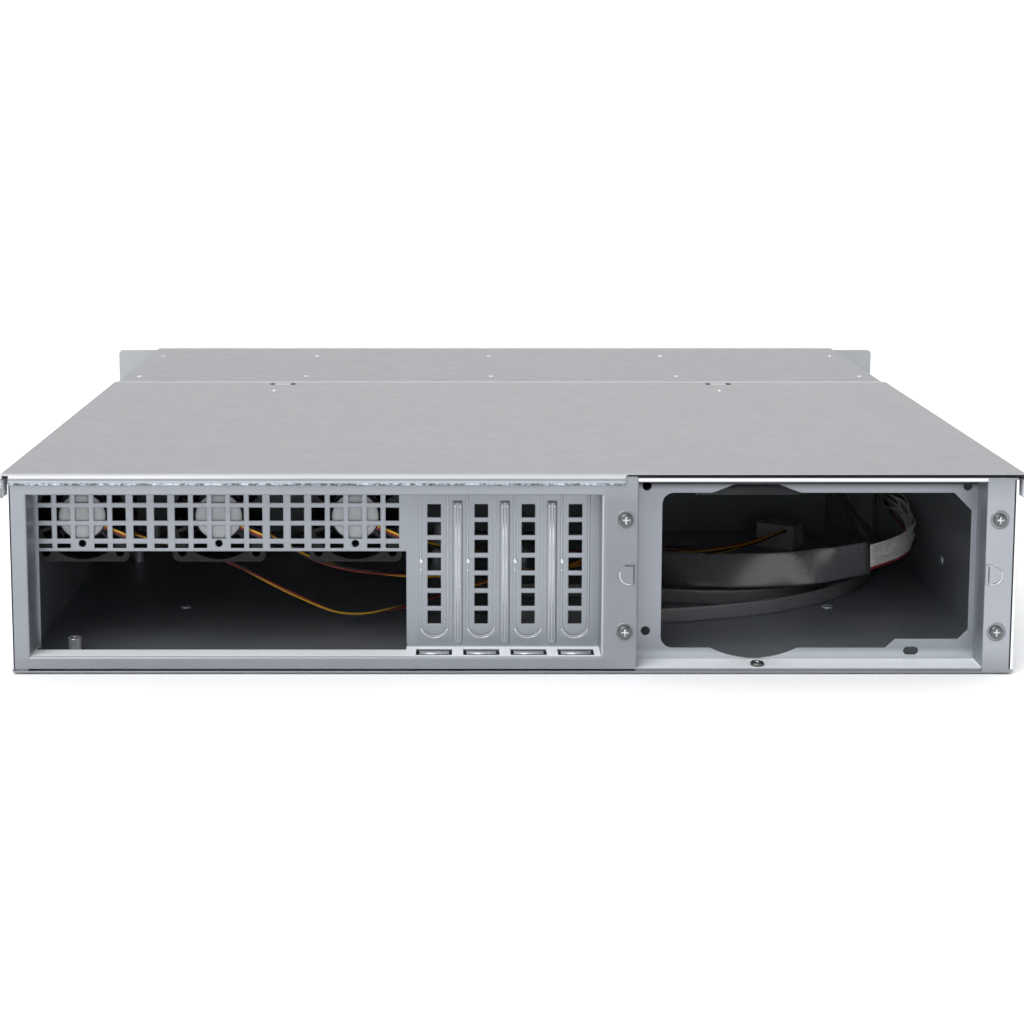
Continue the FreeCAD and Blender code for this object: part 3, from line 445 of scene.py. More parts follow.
sleeve_grey = soft_black("sleeve_grey", (0.085, 0.085, 0.09), 0.27, 1.0)
line = route_line(sleeve_route)
reach = line_lengths(line)
sleeve_lean = np.zeros(len(line))
for spot, half_run, angle in sleeve_leans:
    sleeve_lean += math.radians(angle) * np.exp(-(((reach - spot) / half_run) ** 2))
soft_tube = flat_tube(line, sleeve_width, sleeve_thickness, sleeve_sides, sleeve_lean)
sleeve = merged("ribbon_sleeve_soft", [soft_tube])
sleeve.data.materials.append(sleeve_grey)
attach(sleeve, "chassis")
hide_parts("ribbon_sleeve")

# Signal cord: a narrower flat black cord from the control board that runs along the floor,
# turns back on itself behind the card slots and ends in a small plug.
cord_route = [
    (170, header_face, header_z), (173, 350, 66), (180, 322, 50), (190, 294, 31),
    (198, 268, 15), (201, 240, 6.4), (199, 208, 4.8), (194, 176, 4.6), (186, 148, 4.6),
    (172, 122, 4.6), (152, 101, 4.6), (126, 85, 4.6), (98, 75, 4.6), (68, 69, 4.6), (38, 66.5, 4.6),
    (10, 66, 4.6), (-5, 79, 4.6), (-6, 100, 4.6), (8, 114, 4.6), (36, 112, 4.6), (68, 105, 4.6),
    (100, 99.5, 4.6), (130, 103.5, 4.6), (152, 117, 4.6), (162, 140, 4.6), (163, 164, 4.6),
]
cord_width = 7.0
cord_thickness = 1.6
cord_sides = 20
sleeve_black = soft_black("sleeve_black", (0.115, 0.115, 0.122), 0.34)
line = route_line(cord_route)
signal = merged("signal_cord_soft", [flat_tube(line, cord_width, cord_thickness, cord_sides)])
signal.data.materials.append(sleeve_black)
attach(signal, "chassis")
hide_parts("signal_cord")

# Zinc-plated sheet: the tray, the rear frame, the recessed panels, the ears and the inner walls
# are cut and folded from the same bright galvanised steel, one millimetre thick. Lines of painted
# shade and painted highlight show where two sheets meet at the rear. The ears get a lighter copy
# of the zinc, painted light, and the inner walls and front panel a darker one, painted shade.
zinc_dark = (0.245, 0.263, 0.29)
zinc_light = (0.335, 0.356, 0.387)
zinc_edge = 0.0005
panel_edge = 0.0008
# Painted shade for gaps, slits and openings, and a painted highlight for bends, edges and small faces.
shade_painted = (0.02, 0.02, 0.022)
highlight_painted = (0.9, 0.91, 0.93)
matt_from = 1.9
wall_half = 213.5
rail_top = 85.4


def between(tree, source, low, high, soft=0.15):
    """One where a value in metres lies between two limits in millimetres, fading over a short way."""
    rising = remap(tree, source, 0, 1, (low - soft) * MM, low * MM)
    falling = remap(tree, source, 1, 0, high * MM, (high + soft) * MM)
    return times(tree, rising, falling)


def times(tree, first, second):
    """The product of two values."""
    node = tree.nodes.new("ShaderNodeMath")
    node.operation = "MULTIPLY"
    tree.links.new(first, node.inputs[0])
    tree.links.new(second, node.inputs[1])
    return node.outputs[0]


def marked(tree, shader, marks):
    """Lays marks over the shader's colour, each a tint inside a box of object coordinates."""
    place = tree.nodes.new("ShaderNodeTexCoord")
    split = tree.nodes.new("ShaderNodeSeparateXYZ")
    tree.links.new(place.outputs["Object"], split.inputs[0])
    colour = shader.inputs["Base Color"].links[0].from_socket
    shine = tree.nodes.new("ShaderNodeValue").outputs[0]
    shine.default_value = shader.inputs["Metallic"].default_value
    for limits, tint, pattern in marks:
        mask = None
        for axis, pair in enumerate(limits):
            if pair:
                part = between(tree, split.outputs[axis], *pair)
                mask = times(tree, mask, part) if mask else part
        if pattern:
            mask = times(tree, mask, pattern)
        node = tree.nodes.new("ShaderNodeMix")
        node.data_type = "RGBA"
        tree.links.new(mask, node.inputs[0])
        tree.links.new(colour, node.inputs[6])
        node.inputs[7].default_value = (*tint, 1.0)
        colour = node.outputs[2]
        # The brightest tints, painted highlights, turn the metal under them matt.
        if sum(tint) > matt_from:
            shine = times(tree, shine, remap(tree, mask, 1, 0, 0, 1))
    tree.links.new(colour, shader.inputs["Base Color"])
    tree.links.new(shine, shader.inputs["Metallic"])


def zinc_sheet(name, dark, light, low_rough, high_rough, stretch, edge=zinc_edge, marks=()):
    """Galvanised steel: satin metal with broad cloudy patches, rolling streaks and a fine grain."""
    material, tree, shader = plain_material(name, (*light, 1.0), high_rough)
    shader.inputs["Metallic"].default_value = 0.7
    clouds = noise(tree, 16.0, 5.0)
    streaks = noise(tree, 45.0, 6.0, stretch, 0.7)
    grain = noise(tree, 1400.0, 2.0)
    mixed = tree.nodes.new("ShaderNodeMath")
    mixed.operation = "MULTIPLY_ADD"
    mixed.inputs[1].default_value = 0.5
    tree.links.new(streaks, mixed.inputs[0])
    tree.links.new(remap(tree, clouds, 0.1, 0.5), mixed.inputs[2])
    tree.links.new(two_tone(tree, mixed.outputs[0], dark, light), shader.inputs["Base Color"])
    tree.links.new(remap(tree, streaks, low_rough, high_rough), shader.inputs["Roughness"])
    relief(tree, shader, grain, 0.08, 0.00012, edge)
    if marks:
        uneven = remap(tree, clouds, 0.5, 1.0)
        marked(tree, shader, [(limits, tint, uneven if cloudy else None) for limits, tint, cloudy in marks])
    return material


face = (rear - 2.0, rear + 0.3)
# A painted highlight on the top of a ledge: the sill's edge and the power supply bracket's foot.
ledge_highlight_painted = (0.78, 0.81, 0.84)
# Each mark gives its limits across, along and up, a tint, and whether the sheet's clouds show in it:
# the left post and the bottom strip darker and the right post lighter, a painted highlight on the
# sill's edge and down the recess's right edge, painted shade on the floor seen through the slot
# windows, painted shadow under the rail and cast by it on the bracket, painted highlights on the
# bracket's foot and its fold, painted shade and a painted highlight along the pressed tabs' cut
# outlines, and at both outer edges a line of painted shade beside a painted highlight on the edge.
wall_marks = [
    (((40.0, 52.6, 3.0), face, (12.0, 74.0, 10.0)), (0.225, 0.24, 0.262), True),
    (((199.5, 214.0, 0.2), face, (12.0, 74.0, 10.0)), (0.4, 0.42, 0.455), True),
    (((-206.0, 38.0, 12.0), face, (1.8, 6.0, 1.2)), (0.235, 0.25, 0.275), True),
    (((-206.0, 38.0), (rear + 0.9, rear + 15.0), (6.9, 7.5)), ledge_highlight_painted, None),
    (((37.2, 38.2), (rear - 1.0, rear + 1.0), (8.0, 77.0)), (0.5, 0.52, 0.55), None),
    (((-44.0, 37.0), (rear + 1.2, rear + 14.0), (0.5, 1.4)), shade_painted, None),
    # Painted shadow under the rail and, lower, the rail's painted shadow on the bracket's face.
    (((52.6, 201.0), (rear + 0.9, rear + 17.0), (82.5, 83.3)), (0.1, 0.095, 0.09), None),
    (((52.6, 201.0), (rear + 14.0, rear + 17.2), (79.2, 80.0, 2.6)), (0.11, 0.115, 0.125), None),
    (((52.6, 201.0), (rear + 14.0, rear + 17.2), (78.9, 80.0)), (0.04, 0.042, 0.046), None),
    (((52.0, 201.0), (rear + 1.2, rear + 14.2), (1.6, 2.4)), ledge_highlight_painted, None),
    (((52.0, 201.0), (rear + 14.0, rear + 16.2), (1.0, 4.0, 2.5)), (0.5, 0.53, 0.56), None),
    (((50.9, 51.4), face, (39.6, 47.2)), (0.12, 0.125, 0.13), None),
    (((47.4, 51.2), face, (46.9, 47.3)), (0.07, 0.075, 0.08), None),
    (((201.3, 201.8), face, (39.6, 47.2)), (0.12, 0.125, 0.13), None),
    (((201.6, 205.4), face, (46.9, 47.3)), (0.5, 0.52, 0.55), None),
    (((wall_half - 2.0, wall_half - 1.4), face, (2.0, 84.0)), shade_painted, None),
    (((wall_half - 1.3, wall_half + 1.0), face, (2.0, 84.0)), highlight_painted, None),
    (((-wall_half + 0.7, -wall_half + 1.2), face, (2.0, 82.0)), shade_painted, None),
    (((-wall_half - 1.0, -wall_half + 0.6), face, (2.0, 82.0)), highlight_painted, None),
]
# The rail's marks: painted shade in the gap over it and a painted highlight along its fold.
rail_marks = [
    ((None, face, (rail_top - 0.5, rail_top + 1.0)), shade_painted, None),
    ((None, face, (rail_top - 2.5, rail_top - 0.6)), (0.6, 0.61, 0.62), None),
    ((None, face, (rail_top - 1.5, rail_top - 0.9)), highlight_painted, None),
]
streaks_level = (0.25, 1.0, 1.0)
zinc_level = zinc_sheet("zinc_sheet", zinc_dark, zinc_light, 0.34, 0.52, streaks_level)
zinc_outer = zinc_sheet("zinc_outer", zinc_dark, zinc_light, 0.34, 0.52, streaks_level, marks=wall_marks)
zinc_rail = zinc_sheet("zinc_rail", zinc_dark, zinc_light, 0.34, 0.52, streaks_level, marks=rail_marks)
zinc_panel = zinc_sheet("zinc_panel", zinc_dark, zinc_light, 0.34, 0.52, streaks_level, panel_edge)
# The ears: a lighter copy of the same zinc, painted light.
zinc_ears_light_painted = zinc_sheet("zinc_ears_light_painted", (0.34, 0.355, 0.375), (0.45, 0.465, 0.485), 0.38, 0.54, streaks_level)
# A darker copy of the zinc, painted shade for the dark inside of the case, for the inner walls, the front
# panel and the bays.
zinc_shade_painted = zinc_sheet("zinc_shade_painted", (0.10, 0.108, 0.118), (0.14, 0.15, 0.162), 0.4, 0.6, streaks_level)


def dress(names, material):
    """Gives CAD nodes one material in place of their own."""
    for name in names:
        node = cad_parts[name]
        node.data.materials.clear()
        node.data.materials.append(material)


dress(["ear_left", "ear_right"], zinc_ears_light_painted)
dress(["base_tray", "rear_frame", "psu_bracket"], zinc_outer)
dress(["rear_rail"], zinc_rail)
dress(["board_panel"], zinc_panel)
dress(["middle_wall", "front_panel"], zinc_shade_painted)
dress([f"bay_cover_{n}" for n in (1, 2, 3, 4)] + [f"bay_divider_{n}" for n in (1, 2, 3)], zinc_shade_painted)

# Lid and front cover: thin steel with a matt light grey paint, slightly rough to the touch. The
# lid's rear fold shows as a painted highlight, with a torn cut edge below it, and two pressed hand
# grips lie at its front edge, each a low bridge with an opening at both ends, drawn only as a
# painted highlight on the bridge and painted shade in the openings.
paint_dark = (0.249, 0.251, 0.26)
paint_light = (0.258, 0.26, 0.269)
lid_top = 87.0
lid_half = wall_half + 2.7
lid_rear = rear - 1.2
seam = rear + 245.4
grip_x = lid_half - 95.5
grip_half = 5.6
grip_y = seam - 9.0
grip_run = (grip_y - 2.0, grip_y + 1.6)
grip_highlight_painted = (0.42, 0.42, 0.42)
hole_half = 1.2
hole_run = (grip_y - 2.6, grip_y + 2.6)
nick_aside = 2.6
nick_half = 0.5
nick_run = (grip_y - 24.0, grip_y - 20.0)


def matt_paint(name, dark, light, marks=()):
    """Powder paint: an even grey with faint clouds and a fine orange-peel relief."""
    material, tree, shader = plain_material(name, (*light, 1.0), 0.5)
    shader.inputs["Metallic"].default_value = 0.35
    clouds = noise(tree, 3.0, 2.0)
    tree.links.new(two_tone(tree, clouds, dark, light), shader.inputs["Base Color"])
    tree.links.new(remap(tree, noise(tree, 120.0), 0.48, 0.54), shader.inputs["Roughness"])
    relief(tree, shader, noise(tree, 2600.0, 2.0), 0.12, 0.0001, zinc_edge)
    if marks:
        torn = noise(tree, 300.0, 6.0, (1.0, 1.0, 2.0), 0.8)
        tuned = [(limits, tint, remap(tree, torn, 0, 1, *rough) if rough else None)
                 for limits, tint, rough in marks]
        marked(tree, shader, tuned)
    return material


# The lid's marks: the lip's face a lighter blue grey, the torn edge in dark and light specks, a
# painted highlight along the rear fold, brighter at the left, with a line of painted shade under it,
# painted shade in the gap over the rail at the right, painted highlights on the inner faces of the
# lips and along the seam's edge. A pair of limits at the end breaks a mark up by noise.
fold = (lid_rear - 1.0, lid_rear + 0.3)
lip_run = (lid_rear + 0.5, seam)
lip_rise = (70.0, lid_top - 3.0)
lid_marks = [
    ((None, fold, (lid_top - 6.0, lid_top - 2.7)), (0.36, 0.4, 0.45), None),
    ((None, fold, (lid_top - 5.3, lid_top - 4.2)), (0.075, 0.078, 0.085), (0.44, 0.56)),
    ((None, fold, (lid_top - 4.75, lid_top - 4.3)), (0.62, 0.63, 0.65), (0.5, 0.42)),
    ((None, fold, (lid_top - 2.85, lid_top - 2.4)), (0.17, 0.175, 0.185), None),
    ((None, fold, (lid_top - 2.35, lid_top + 1.0)), (0.41, 0.42, 0.44), None),
    ((None, fold, (lid_top - 1.7, lid_top - 0.9, 0.3)), (0.52, 0.53, 0.55), None),
    (((-230.0, -150.0, 60.0), fold, (lid_top - 1.9, lid_top - 0.9, 0.3)), (0.63, 0.63, 0.63), None),
    (((48.0, 230.0), fold, (lid_top - 1.4, lid_top - 0.5)), shade_painted, None),
    (((-lid_half + 0.8, -wall_half - 0.4), lip_run, lip_rise), highlight_painted, None),
    (((wall_half + 0.4, lid_half - 0.8), lip_run, lip_rise), highlight_painted, None),
    ((None, (seam - 3.2, seam + 1.0), (lid_top - 0.2, lid_top + 1.0)), (0.4, 0.4, 0.41), None),
]
# Each grip: a painted highlight on its bridge, painted shade in the openings at both ends, and a painted
# highlight on a small nick nearer the rear.
for side in (-1, 1):
    middle = side * grip_x
    across = (middle - grip_half, middle + grip_half)
    lid_marks.append(((across, grip_run, None), grip_highlight_painted, None))
    for end in (-1, 1):
        hole = middle + end * grip_half
        lid_marks.append((((hole - hole_half, hole + hole_half), hole_run, None), shade_painted, None))
    nick = middle - nick_aside
    lid_marks.append((((nick - nick_half, nick + nick_half), nick_run, None), highlight_painted, None))
dress(["lid"], matt_paint("lid_paint", paint_dark, paint_light, lid_marks))
cover_dark = (0.228, 0.231, 0.239)
cover_light = (0.238, 0.241, 0.249)
dress(["front_cover"], matt_paint("cover_paint", cover_dark, cover_light))

# Screws: pan heads with a cross recess, pressed and plated with bright zinc. The heads of the four
# rear screws sit in shallow dimples of the sheet, each with a raised rim. The floor's spacers are
# plated like them.
even_streaks = (1.0, 1.0, 1.0)
# Bright zinc: the plating of the rivets, and on features pressed from the sheet itself a painted highlight.
bright_plating_and_highlight = zinc_sheet("bright_plating_and_highlight", (0.5, 0.53, 0.56), (0.72, 0.75, 0.79), 0.16, 0.3, even_streaks)
# Painted light on the screws: shade painted on the head and a highlight painted in the cross recess.
head_shade_painted = 0.15
cross_highlight_painted = 0.8
head_radius = 2.95
head_height = 1.8
shank_radius = 1.5
recess_reach = 1.75
recess_half_width = 0.42
recess_depth = 1.1
recess_wall = 0.2
recess_end = 0.35
rim_share = 0.45
dome_power = 2.6
ring_power = 0.8
head_rings = 18
head_sides = 48


def screw_surface(place, axis, shank):
    """A domed head with a cross recess, then the flat under it and the shank. The recess is deep where
    the larger of |x| and |y| lies within an arm's reach and the smaller within its half width."""
    axis = np.array(axis, dtype=float)
    across = np.cross(axis, [0.0, 0.0, 1.0]) if abs(axis[2]) < 0.5 else np.array([1.0, 0.0, 0.0])
    across = unit(across)
    other = np.cross(axis, across)
    reach = np.linspace(0.01, 1, head_rings) ** ring_power
    turn = np.linspace(0, 2 * math.pi, head_sides, endpoint=False)
    x = reach[:, None] * np.cos(turn) * head_radius
    y = reach[:, None] * np.sin(turn) * head_radius
    dome = np.sqrt(np.clip(1 - reach ** dome_power, 0, 1))
    dome = head_height * (rim_share + (1 - rim_share) * dome)[:, None]
    long_way = np.maximum(np.abs(x), np.abs(y))
    short_way = np.minimum(np.abs(x), np.abs(y))
    inside = np.clip((recess_reach - long_way) / recess_end, 0, 1)
    inside = inside * np.clip((recess_half_width - short_way) / recess_wall + 0.5, 0, 1)
    height = dome - inside * recess_depth
    rings = [(x, y, height)]
    for radius, level in ((head_radius, 0.0), (shank_radius, 0.0), (shank_radius, -shank), (0.02, -shank)):
        flat = np.full((1, head_sides), level)
        rings.append((radius * np.cos(turn)[None], radius * np.sin(turn)[None], flat))
    x, y, height = (np.concatenate(parts) for parts in zip(*rings))
    points = np.array(place) - x[..., None] * across + y[..., None] * other + height[..., None] * -axis
    # Painted light: dark on the dome, the flat and the shank, bright in the recess.
    bright = head_shade_painted + (cross_highlight_painted - head_shade_painted) * inside
    bright = np.concatenate([bright, np.full((4, head_sides), head_shade_painted)])
    shade = np.stack([bright, bright * 1.02, bright * 1.04, np.ones_like(bright)], axis=-1)
    return points * MM, shade


def plating_light_painted(name):
    """Bright plating with painted light by the attribute shade: painted shade on the dome and a painted
    highlight in the recess.
    """
    material, tree, shader = plain_material(name, (0.5, 0.5, 0.5, 1.0), 0.24)
    shader.inputs["Metallic"].default_value = 0.85
    colour = tree.nodes.new("ShaderNodeVertexColor")
    colour.layer_name = "shade"
    scaled = tree.nodes.new("ShaderNodeVectorMath")
    scaled.operation = "SCALE"
    tree.links.new(colour.outputs["Color"], scaled.inputs[0])
    tree.links.new(remap(tree, noise(tree, 500.0), 0.75, 1.0), scaled.inputs["Scale"])
    tree.links.new(scaled.outputs["Vector"], shader.inputs["Base Color"])
    tree.links.new(remap(tree, noise(tree, 800.0), 0.16, 0.34), shader.inputs["Roughness"])
    return material


screw_steel = plating_light_painted("screw_steel")


def screws(name, places, axis, shank):
    """One piece for all the screws of a node, in place of its plain solids."""
    axes = axis if isinstance(axis, list) else [axis] * len(places)
    made = [screw_surface(place, way, shank) for place, way in zip(places, axes)]
    piece = merged(name + "_heads", [points for points, shade in made], [shade for points, shade in made])
    piece.data.materials.append(screw_steel)
    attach(piece, "chassis")
    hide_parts(name)


post_screw_x = (47.6, 205.6)
post_screw_z = (18.2, 66.9)
short_shank = 5.0
bracket_screw_place = (105.22, rear + 5.6, 2.0)
bracket_shank = 2.0
ear_screw_x = 215.5
ear_screw_y = 372.0
ear_screw_z = (18.0, 64.0)
fan_screw_half = 16.0
fan_screw_y = 36.0
fan_screw_z = 80.6
fan_shank = 21.0
rear_spots = [(x, rear, z) for x in post_screw_x for z in post_screw_z]
screws("rear_screws", rear_spots, (0, 1, 0), short_shank)
screws("bracket_screw", [bracket_screw_place], (0, 0, -1), bracket_shank)
ear_spots = [(side * ear_screw_x, rear + ear_screw_y, z) for side in (-1, 1) for z in ear_screw_z]
screws("ear_screws", ear_spots, [(1, 0, 0)] * 2 + [(-1, 0, 0)] * 2, short_shank)
fan_sides = [x + side * fan_screw_half for x in fan_centres for side in (-1, 1)]
screws("fan_screws", [(x, rear + fan_screw_y, fan_screw_z) for x in fan_sides], (0, -1, 0), fan_shank)
sparkling = zinc_sheet("sparkling_zinc", (0.3, 0.32, 0.34), (0.98, 0.98, 1.0), 0.1, 0.3, even_streaks)
dress(["standoffs"], sparkling)


dimple_radius = 3.85
dimple_thickness = 0.42
dimple_sink = 0.12


def torus_points(place, radius, thickness, sides=48, round_sides=8):
    """A ring that faces the rear, its tube in whole circles."""
    turn = np.linspace(0, 2 * math.pi, sides + 1)
    small = np.linspace(0, 2 * math.pi, round_sides, endpoint=False)
    reach = radius + thickness * np.cos(small)[None, :]
    x = place[0] + reach * np.cos(turn)[:, None]
    z = place[2] + reach * np.sin(turn)[:, None]
    y = np.broadcast_to(place[1] + thickness * np.sin(small)[None, :], x.shape)
    return np.stack([x, y, z], axis=-1) * MM


rings = [torus_points((x, y + dimple_sink, z), dimple_radius, dimple_thickness) for x, y, z in rear_spots]
dimples = merged("screw_dimples", rings)
dimples.data.materials.append(zinc_level)
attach(dimples, "chassis")

# Rivets: ten small domed heads of zinc-plated steel in two rows, pulled tight through the front
# cover and the folds under it.
rivet_columns = [-206.5, -110.95, -4.7, 101.55, 206.8]
rivet_rows = [270.6, 351.7]
rivet_radius = 1.9
rivet_height = 0.6
cover_top = 85.7


def dome_points(place, facing, radius, height, squash=1.0, rings=6, sides=20):
    """Half an ellipsoid on a flat base: it rises by the root of one less the reach squared."""
    reach = np.linspace(0.02, 1, rings)
    turn = np.linspace(0, 2 * math.pi, sides, endpoint=False)
    rise = height * np.sqrt(np.clip(1 - reach ** 2, 0, 1))
    reach = np.concatenate([reach, [0.02]]) * radius
    rise = np.concatenate([rise, [0.0]])
    across = reach[:, None] * np.cos(turn)
    along = reach[:, None] * np.sin(turn) * squash
    rise = np.repeat(rise[:, None], sides, axis=1)
    ways = {"up": [across, along, rise], "rear": [across, -rise, along], "left": [-rise, -across, along]}
    return (np.stack(ways[facing], axis=-1) + np.array(place)) * MM


rivet_places = [(x, rear + y, cover_top) for x in rivet_columns for y in rivet_rows]
heads = [dome_points(place, "up", rivet_radius, rivet_height) for place in rivet_places]
rivets = merged("rivet_heads", heads)
rivets.data.materials.append(bright_plating_and_highlight)
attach(rivets, "chassis")
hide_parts("top_rivets")

# Card slot blanks: each is half cut out of the panel, so its outline stands as a fine rolled edge,
# held by one small dimple where the blank breaks off. The rolled edge is drawn in a lighter zinc,
# painted light, and the foot's arc and the dimples in bright zinc, painted highlights.
slot_centres = [-33.6 + i * 20.32 for i in range(4)]
recess_face = rear + 15.0
blank_half = 6.1
blank_foot = 17.6
blank_top = 77.0
seam_half = 0.52
seam_rise = 0.16
seam_inset = 0.2
foot_radius = 0.44
foot_drop = 0.5
seam_proud = 0.1
foot_trim = 3
straight_steps = 16
nib_level = 45.0
nib_inset = 0.5
nib_form = {"radius": 1.0, "height": 0.6, "squash": 1.3}
low_nib_step = 0.2
low_nib_drop = 3.9
low_nib_form = {"radius": 0.5, "height": 0.35, "squash": 1.5}


def seam_points(x, foot, half, rise, sides=10, arc_steps=28):
    """A fine oval bar along a blank's half-circle foot and, for the whole outline, up both sides too."""
    turn = np.linspace(math.pi, 2 * math.pi, arc_steps)
    low = blank_foot
    reach = blank_half - seam_inset
    if foot:
        turn = turn[foot_trim:-foot_trim]
        low = blank_foot - foot_drop
        reach = blank_half
    path = [(x + reach * math.cos(t), low + reach * math.sin(t)) for t in turn]
    if not foot:
        straight = np.linspace(blank_top, low, straight_steps)[:-1]
        path = [(x - reach, z) for z in straight] + path + [(x + reach, z) for z in straight[::-1]]
    path = np.array(path)
    along = unit(np.gradient(path, axis=0))
    outward = np.stack([-along[:, 1], along[:, 0]], axis=-1)
    small = np.linspace(0, 2 * math.pi, sides, endpoint=False)
    px = path[:, None, 0] + half * np.cos(small)[None] * outward[:, None, 0]
    pz = path[:, None, 1] + half * np.cos(small)[None] * outward[:, None, 1]
    depth = recess_face + rise - seam_proud
    py = np.broadcast_to(depth + rise * np.sin(small)[None], px.shape)
    return np.stack([px, py, pz], axis=-1) * MM


# A lighter copy of the sheet's zinc, painted light, for the rolled edges and the beads.
pressed_zinc_light_painted = zinc_sheet("pressed_zinc_light_painted", (0.31, 0.33, 0.36), (0.4, 0.42, 0.45), 0.34, 0.5, streaks_level)
seams = merged("slot_seams", [seam_points(x, False, seam_half, seam_rise) for x in slot_centres])
seams.data.materials.append(pressed_zinc_light_painted)
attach(seams, "chassis")
feet = merged("slot_feet", [seam_points(x, True, foot_radius, foot_radius) for x in slot_centres])
feet.data.materials.append(bright_plating_and_highlight)
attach(feet, "chassis")
nib_places = [(x - blank_half + nib_inset, recess_face, nib_level) for x in slot_centres]
low_nib_places = [(x - low_nib_step, y, z - low_nib_drop) for x, y, z in nib_places]
nib_domes = [dome_points(place, "rear", **nib_form) for place in nib_places]
nib_domes += [dome_points(place, "rear", **low_nib_form) for place in low_nib_places]
nibs = merged("slot_nibs", nib_domes)
nibs.data.materials.append(bright_plating_and_highlight)
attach(nibs, "chassis")

# Stiffening beads between the slots: pressed from behind, so each is a long soft swelling with two
# fine ridges that end at the top in two small knobs. The bead is in the lighter zinc, painted light,
# and fine bars along its ridges and caps on its knobs are in bright zinc, painted highlights.
bead_middles = [x + 10.16 for x in slot_centres[:-1]]
bead_height = 0.76
bead_half = 1.35
bead_flank = 0.9
bead_low = 9.2
bead_high = 70.9
ridge_apart = 0.62
ridge_width = 0.28
ridge_height = 0.2
ridge_low_share = 0.35
knob_apart = 1.0
knob_width = 0.5
knob_length = 0.8
knob_height = 0.5
knob_drop = 1.0
bead_sink = 0.15
fine_run = 4.0
bar_radius = 0.26
bar_low_gap = 1.5
bar_high_gap = 1.0
cap_sink = 0.1
cap_drop = 1.3
cap_form = {"radius": 0.72, "height": 0.55, "squash": 1.3}


def bead_points(x):
    """Height over the panel: a flat top with cosine flanks on all sides, plus two narrow bell-shaped
    ridges that fade downwards and two round bell-shaped knobs near the top."""
    across = np.linspace(-bead_half - bead_flank, bead_half + bead_flank, 41)
    ends = np.linspace(0, bead_flank, 8)
    middle = np.linspace(bead_low, bead_high - fine_run, 30)
    top = np.linspace(bead_high - fine_run, bead_high, 16)[1:]
    rows = np.concatenate([bead_low - ends[:0:-1], middle, top, bead_high + ends[1:]])
    off_side = np.clip((np.abs(across) - bead_half) / bead_flank, 0, 1)
    off_end = np.clip(np.maximum(bead_low - rows, rows - bead_high) / bead_flank, 0, 1)
    side_fall = 0.5 + 0.5 * np.cos(np.pi * off_side)
    end_fall = 0.5 + 0.5 * np.cos(np.pi * off_end)
    height = bead_height * end_fall[:, None] * side_fall[None]
    strength = np.clip((rows - bead_low) / (bead_high - bead_low), 0, 1) * end_fall
    for sign in (-1, 1):
        ridge = np.exp(-(((across - sign * ridge_apart) / ridge_width) ** 2))
        fade = (ridge_low_share + (1 - ridge_low_share) * strength) * end_fall
        height = height + ridge_height * fade[:, None] * ridge[None]
        knob_side = np.exp(-(((across - sign * knob_apart) / knob_width) ** 2))
        knob_up = np.exp(-(((rows - bead_high + knob_drop) / knob_length) ** 2))
        height = height + knob_height * knob_up[:, None] * knob_side[None]
    width = np.concatenate([across, across[[-1, 0]]])
    depth = np.concatenate([-height, np.full((len(rows), 2), bead_sink)], axis=1)
    px = np.broadcast_to(x + width[None], depth.shape)
    pz = np.broadcast_to(rows[:, None], depth.shape)
    return np.stack([px, recess_face + depth, pz], axis=-1) * MM


def bar_points(x, sides=8):
    """A fine upright round bar on a bead."""
    turn = np.linspace(0, 2 * math.pi, sides, endpoint=False)
    heights = np.linspace(bead_low + bar_low_gap, bead_high - bar_high_gap, 3)
    px = np.broadcast_to(x + bar_radius * np.cos(turn)[None], (3, sides))
    py = np.broadcast_to(recess_face - bead_height + bar_radius * np.sin(turn)[None], (3, sides))
    pz = np.broadcast_to(heights[:, None], (3, sides))
    return np.stack([px, py, pz], axis=-1) * MM


beads = merged("slot_beads", [bead_points(x) for x in bead_middles])
beads.data.materials.append(pressed_zinc_light_painted)
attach(beads, "chassis")
ridges = []
for x in bead_middles:
    for side in (-1, 1):
        ridges.append(bar_points(x + side * ridge_apart))
        cap = (x + side * knob_apart, recess_face - bead_height + cap_sink, bead_high - cap_drop)
        ridges.append(dome_points(cap, "rear", **cap_form))
ridge_piece = merged("bead_ridges", ridges)
ridge_piece.data.materials.append(bright_plating_and_highlight)
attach(ridge_piece, "chassis")

# Slot feet: under each slot a window in the sill takes a card's tongue. A strip of the same sheet,
# left standing between two cuts, lies across it, drawn in bright zinc as a painted highlight.
strip_half = 6.4
strip_start = 5.4
strip_depth = 3.6
strip_top = 7.1
strip_bottom = 6.5


def strip_points(x):
    """A flat bar with cut ends that lies level."""
    far = strip_start + strip_depth
    ring = [(strip_start, strip_bottom), (strip_start, strip_top), (far, strip_top), (far, strip_bottom)]
    ends = []
    for reach in (-strip_half, strip_half):
        ends.append([(x + reach, rear + y, z) for y, z in ring])
    return np.array(ends) * MM


strips = merged("slot_strips", [strip_points(x) for x in slot_centres])
strips.data.materials.append(bright_plating_and_highlight)
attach(strips, "chassis")

# Pressed tabs beside the rear screws: each is a half-round flap of the sheet, cut on its round side
# and pushed back, so its rim shows as a fine rolled line, drawn in bright zinc as a painted highlight.
tab_middles = [(52.5, 43.05, -1), (200.1, 43.05, 1)]
tab_reach = 7.3
tab_radius = 4.1
tab_turns = (-1.75, 0.35)
rim_radius = 0.3
rim_proud = 0.4


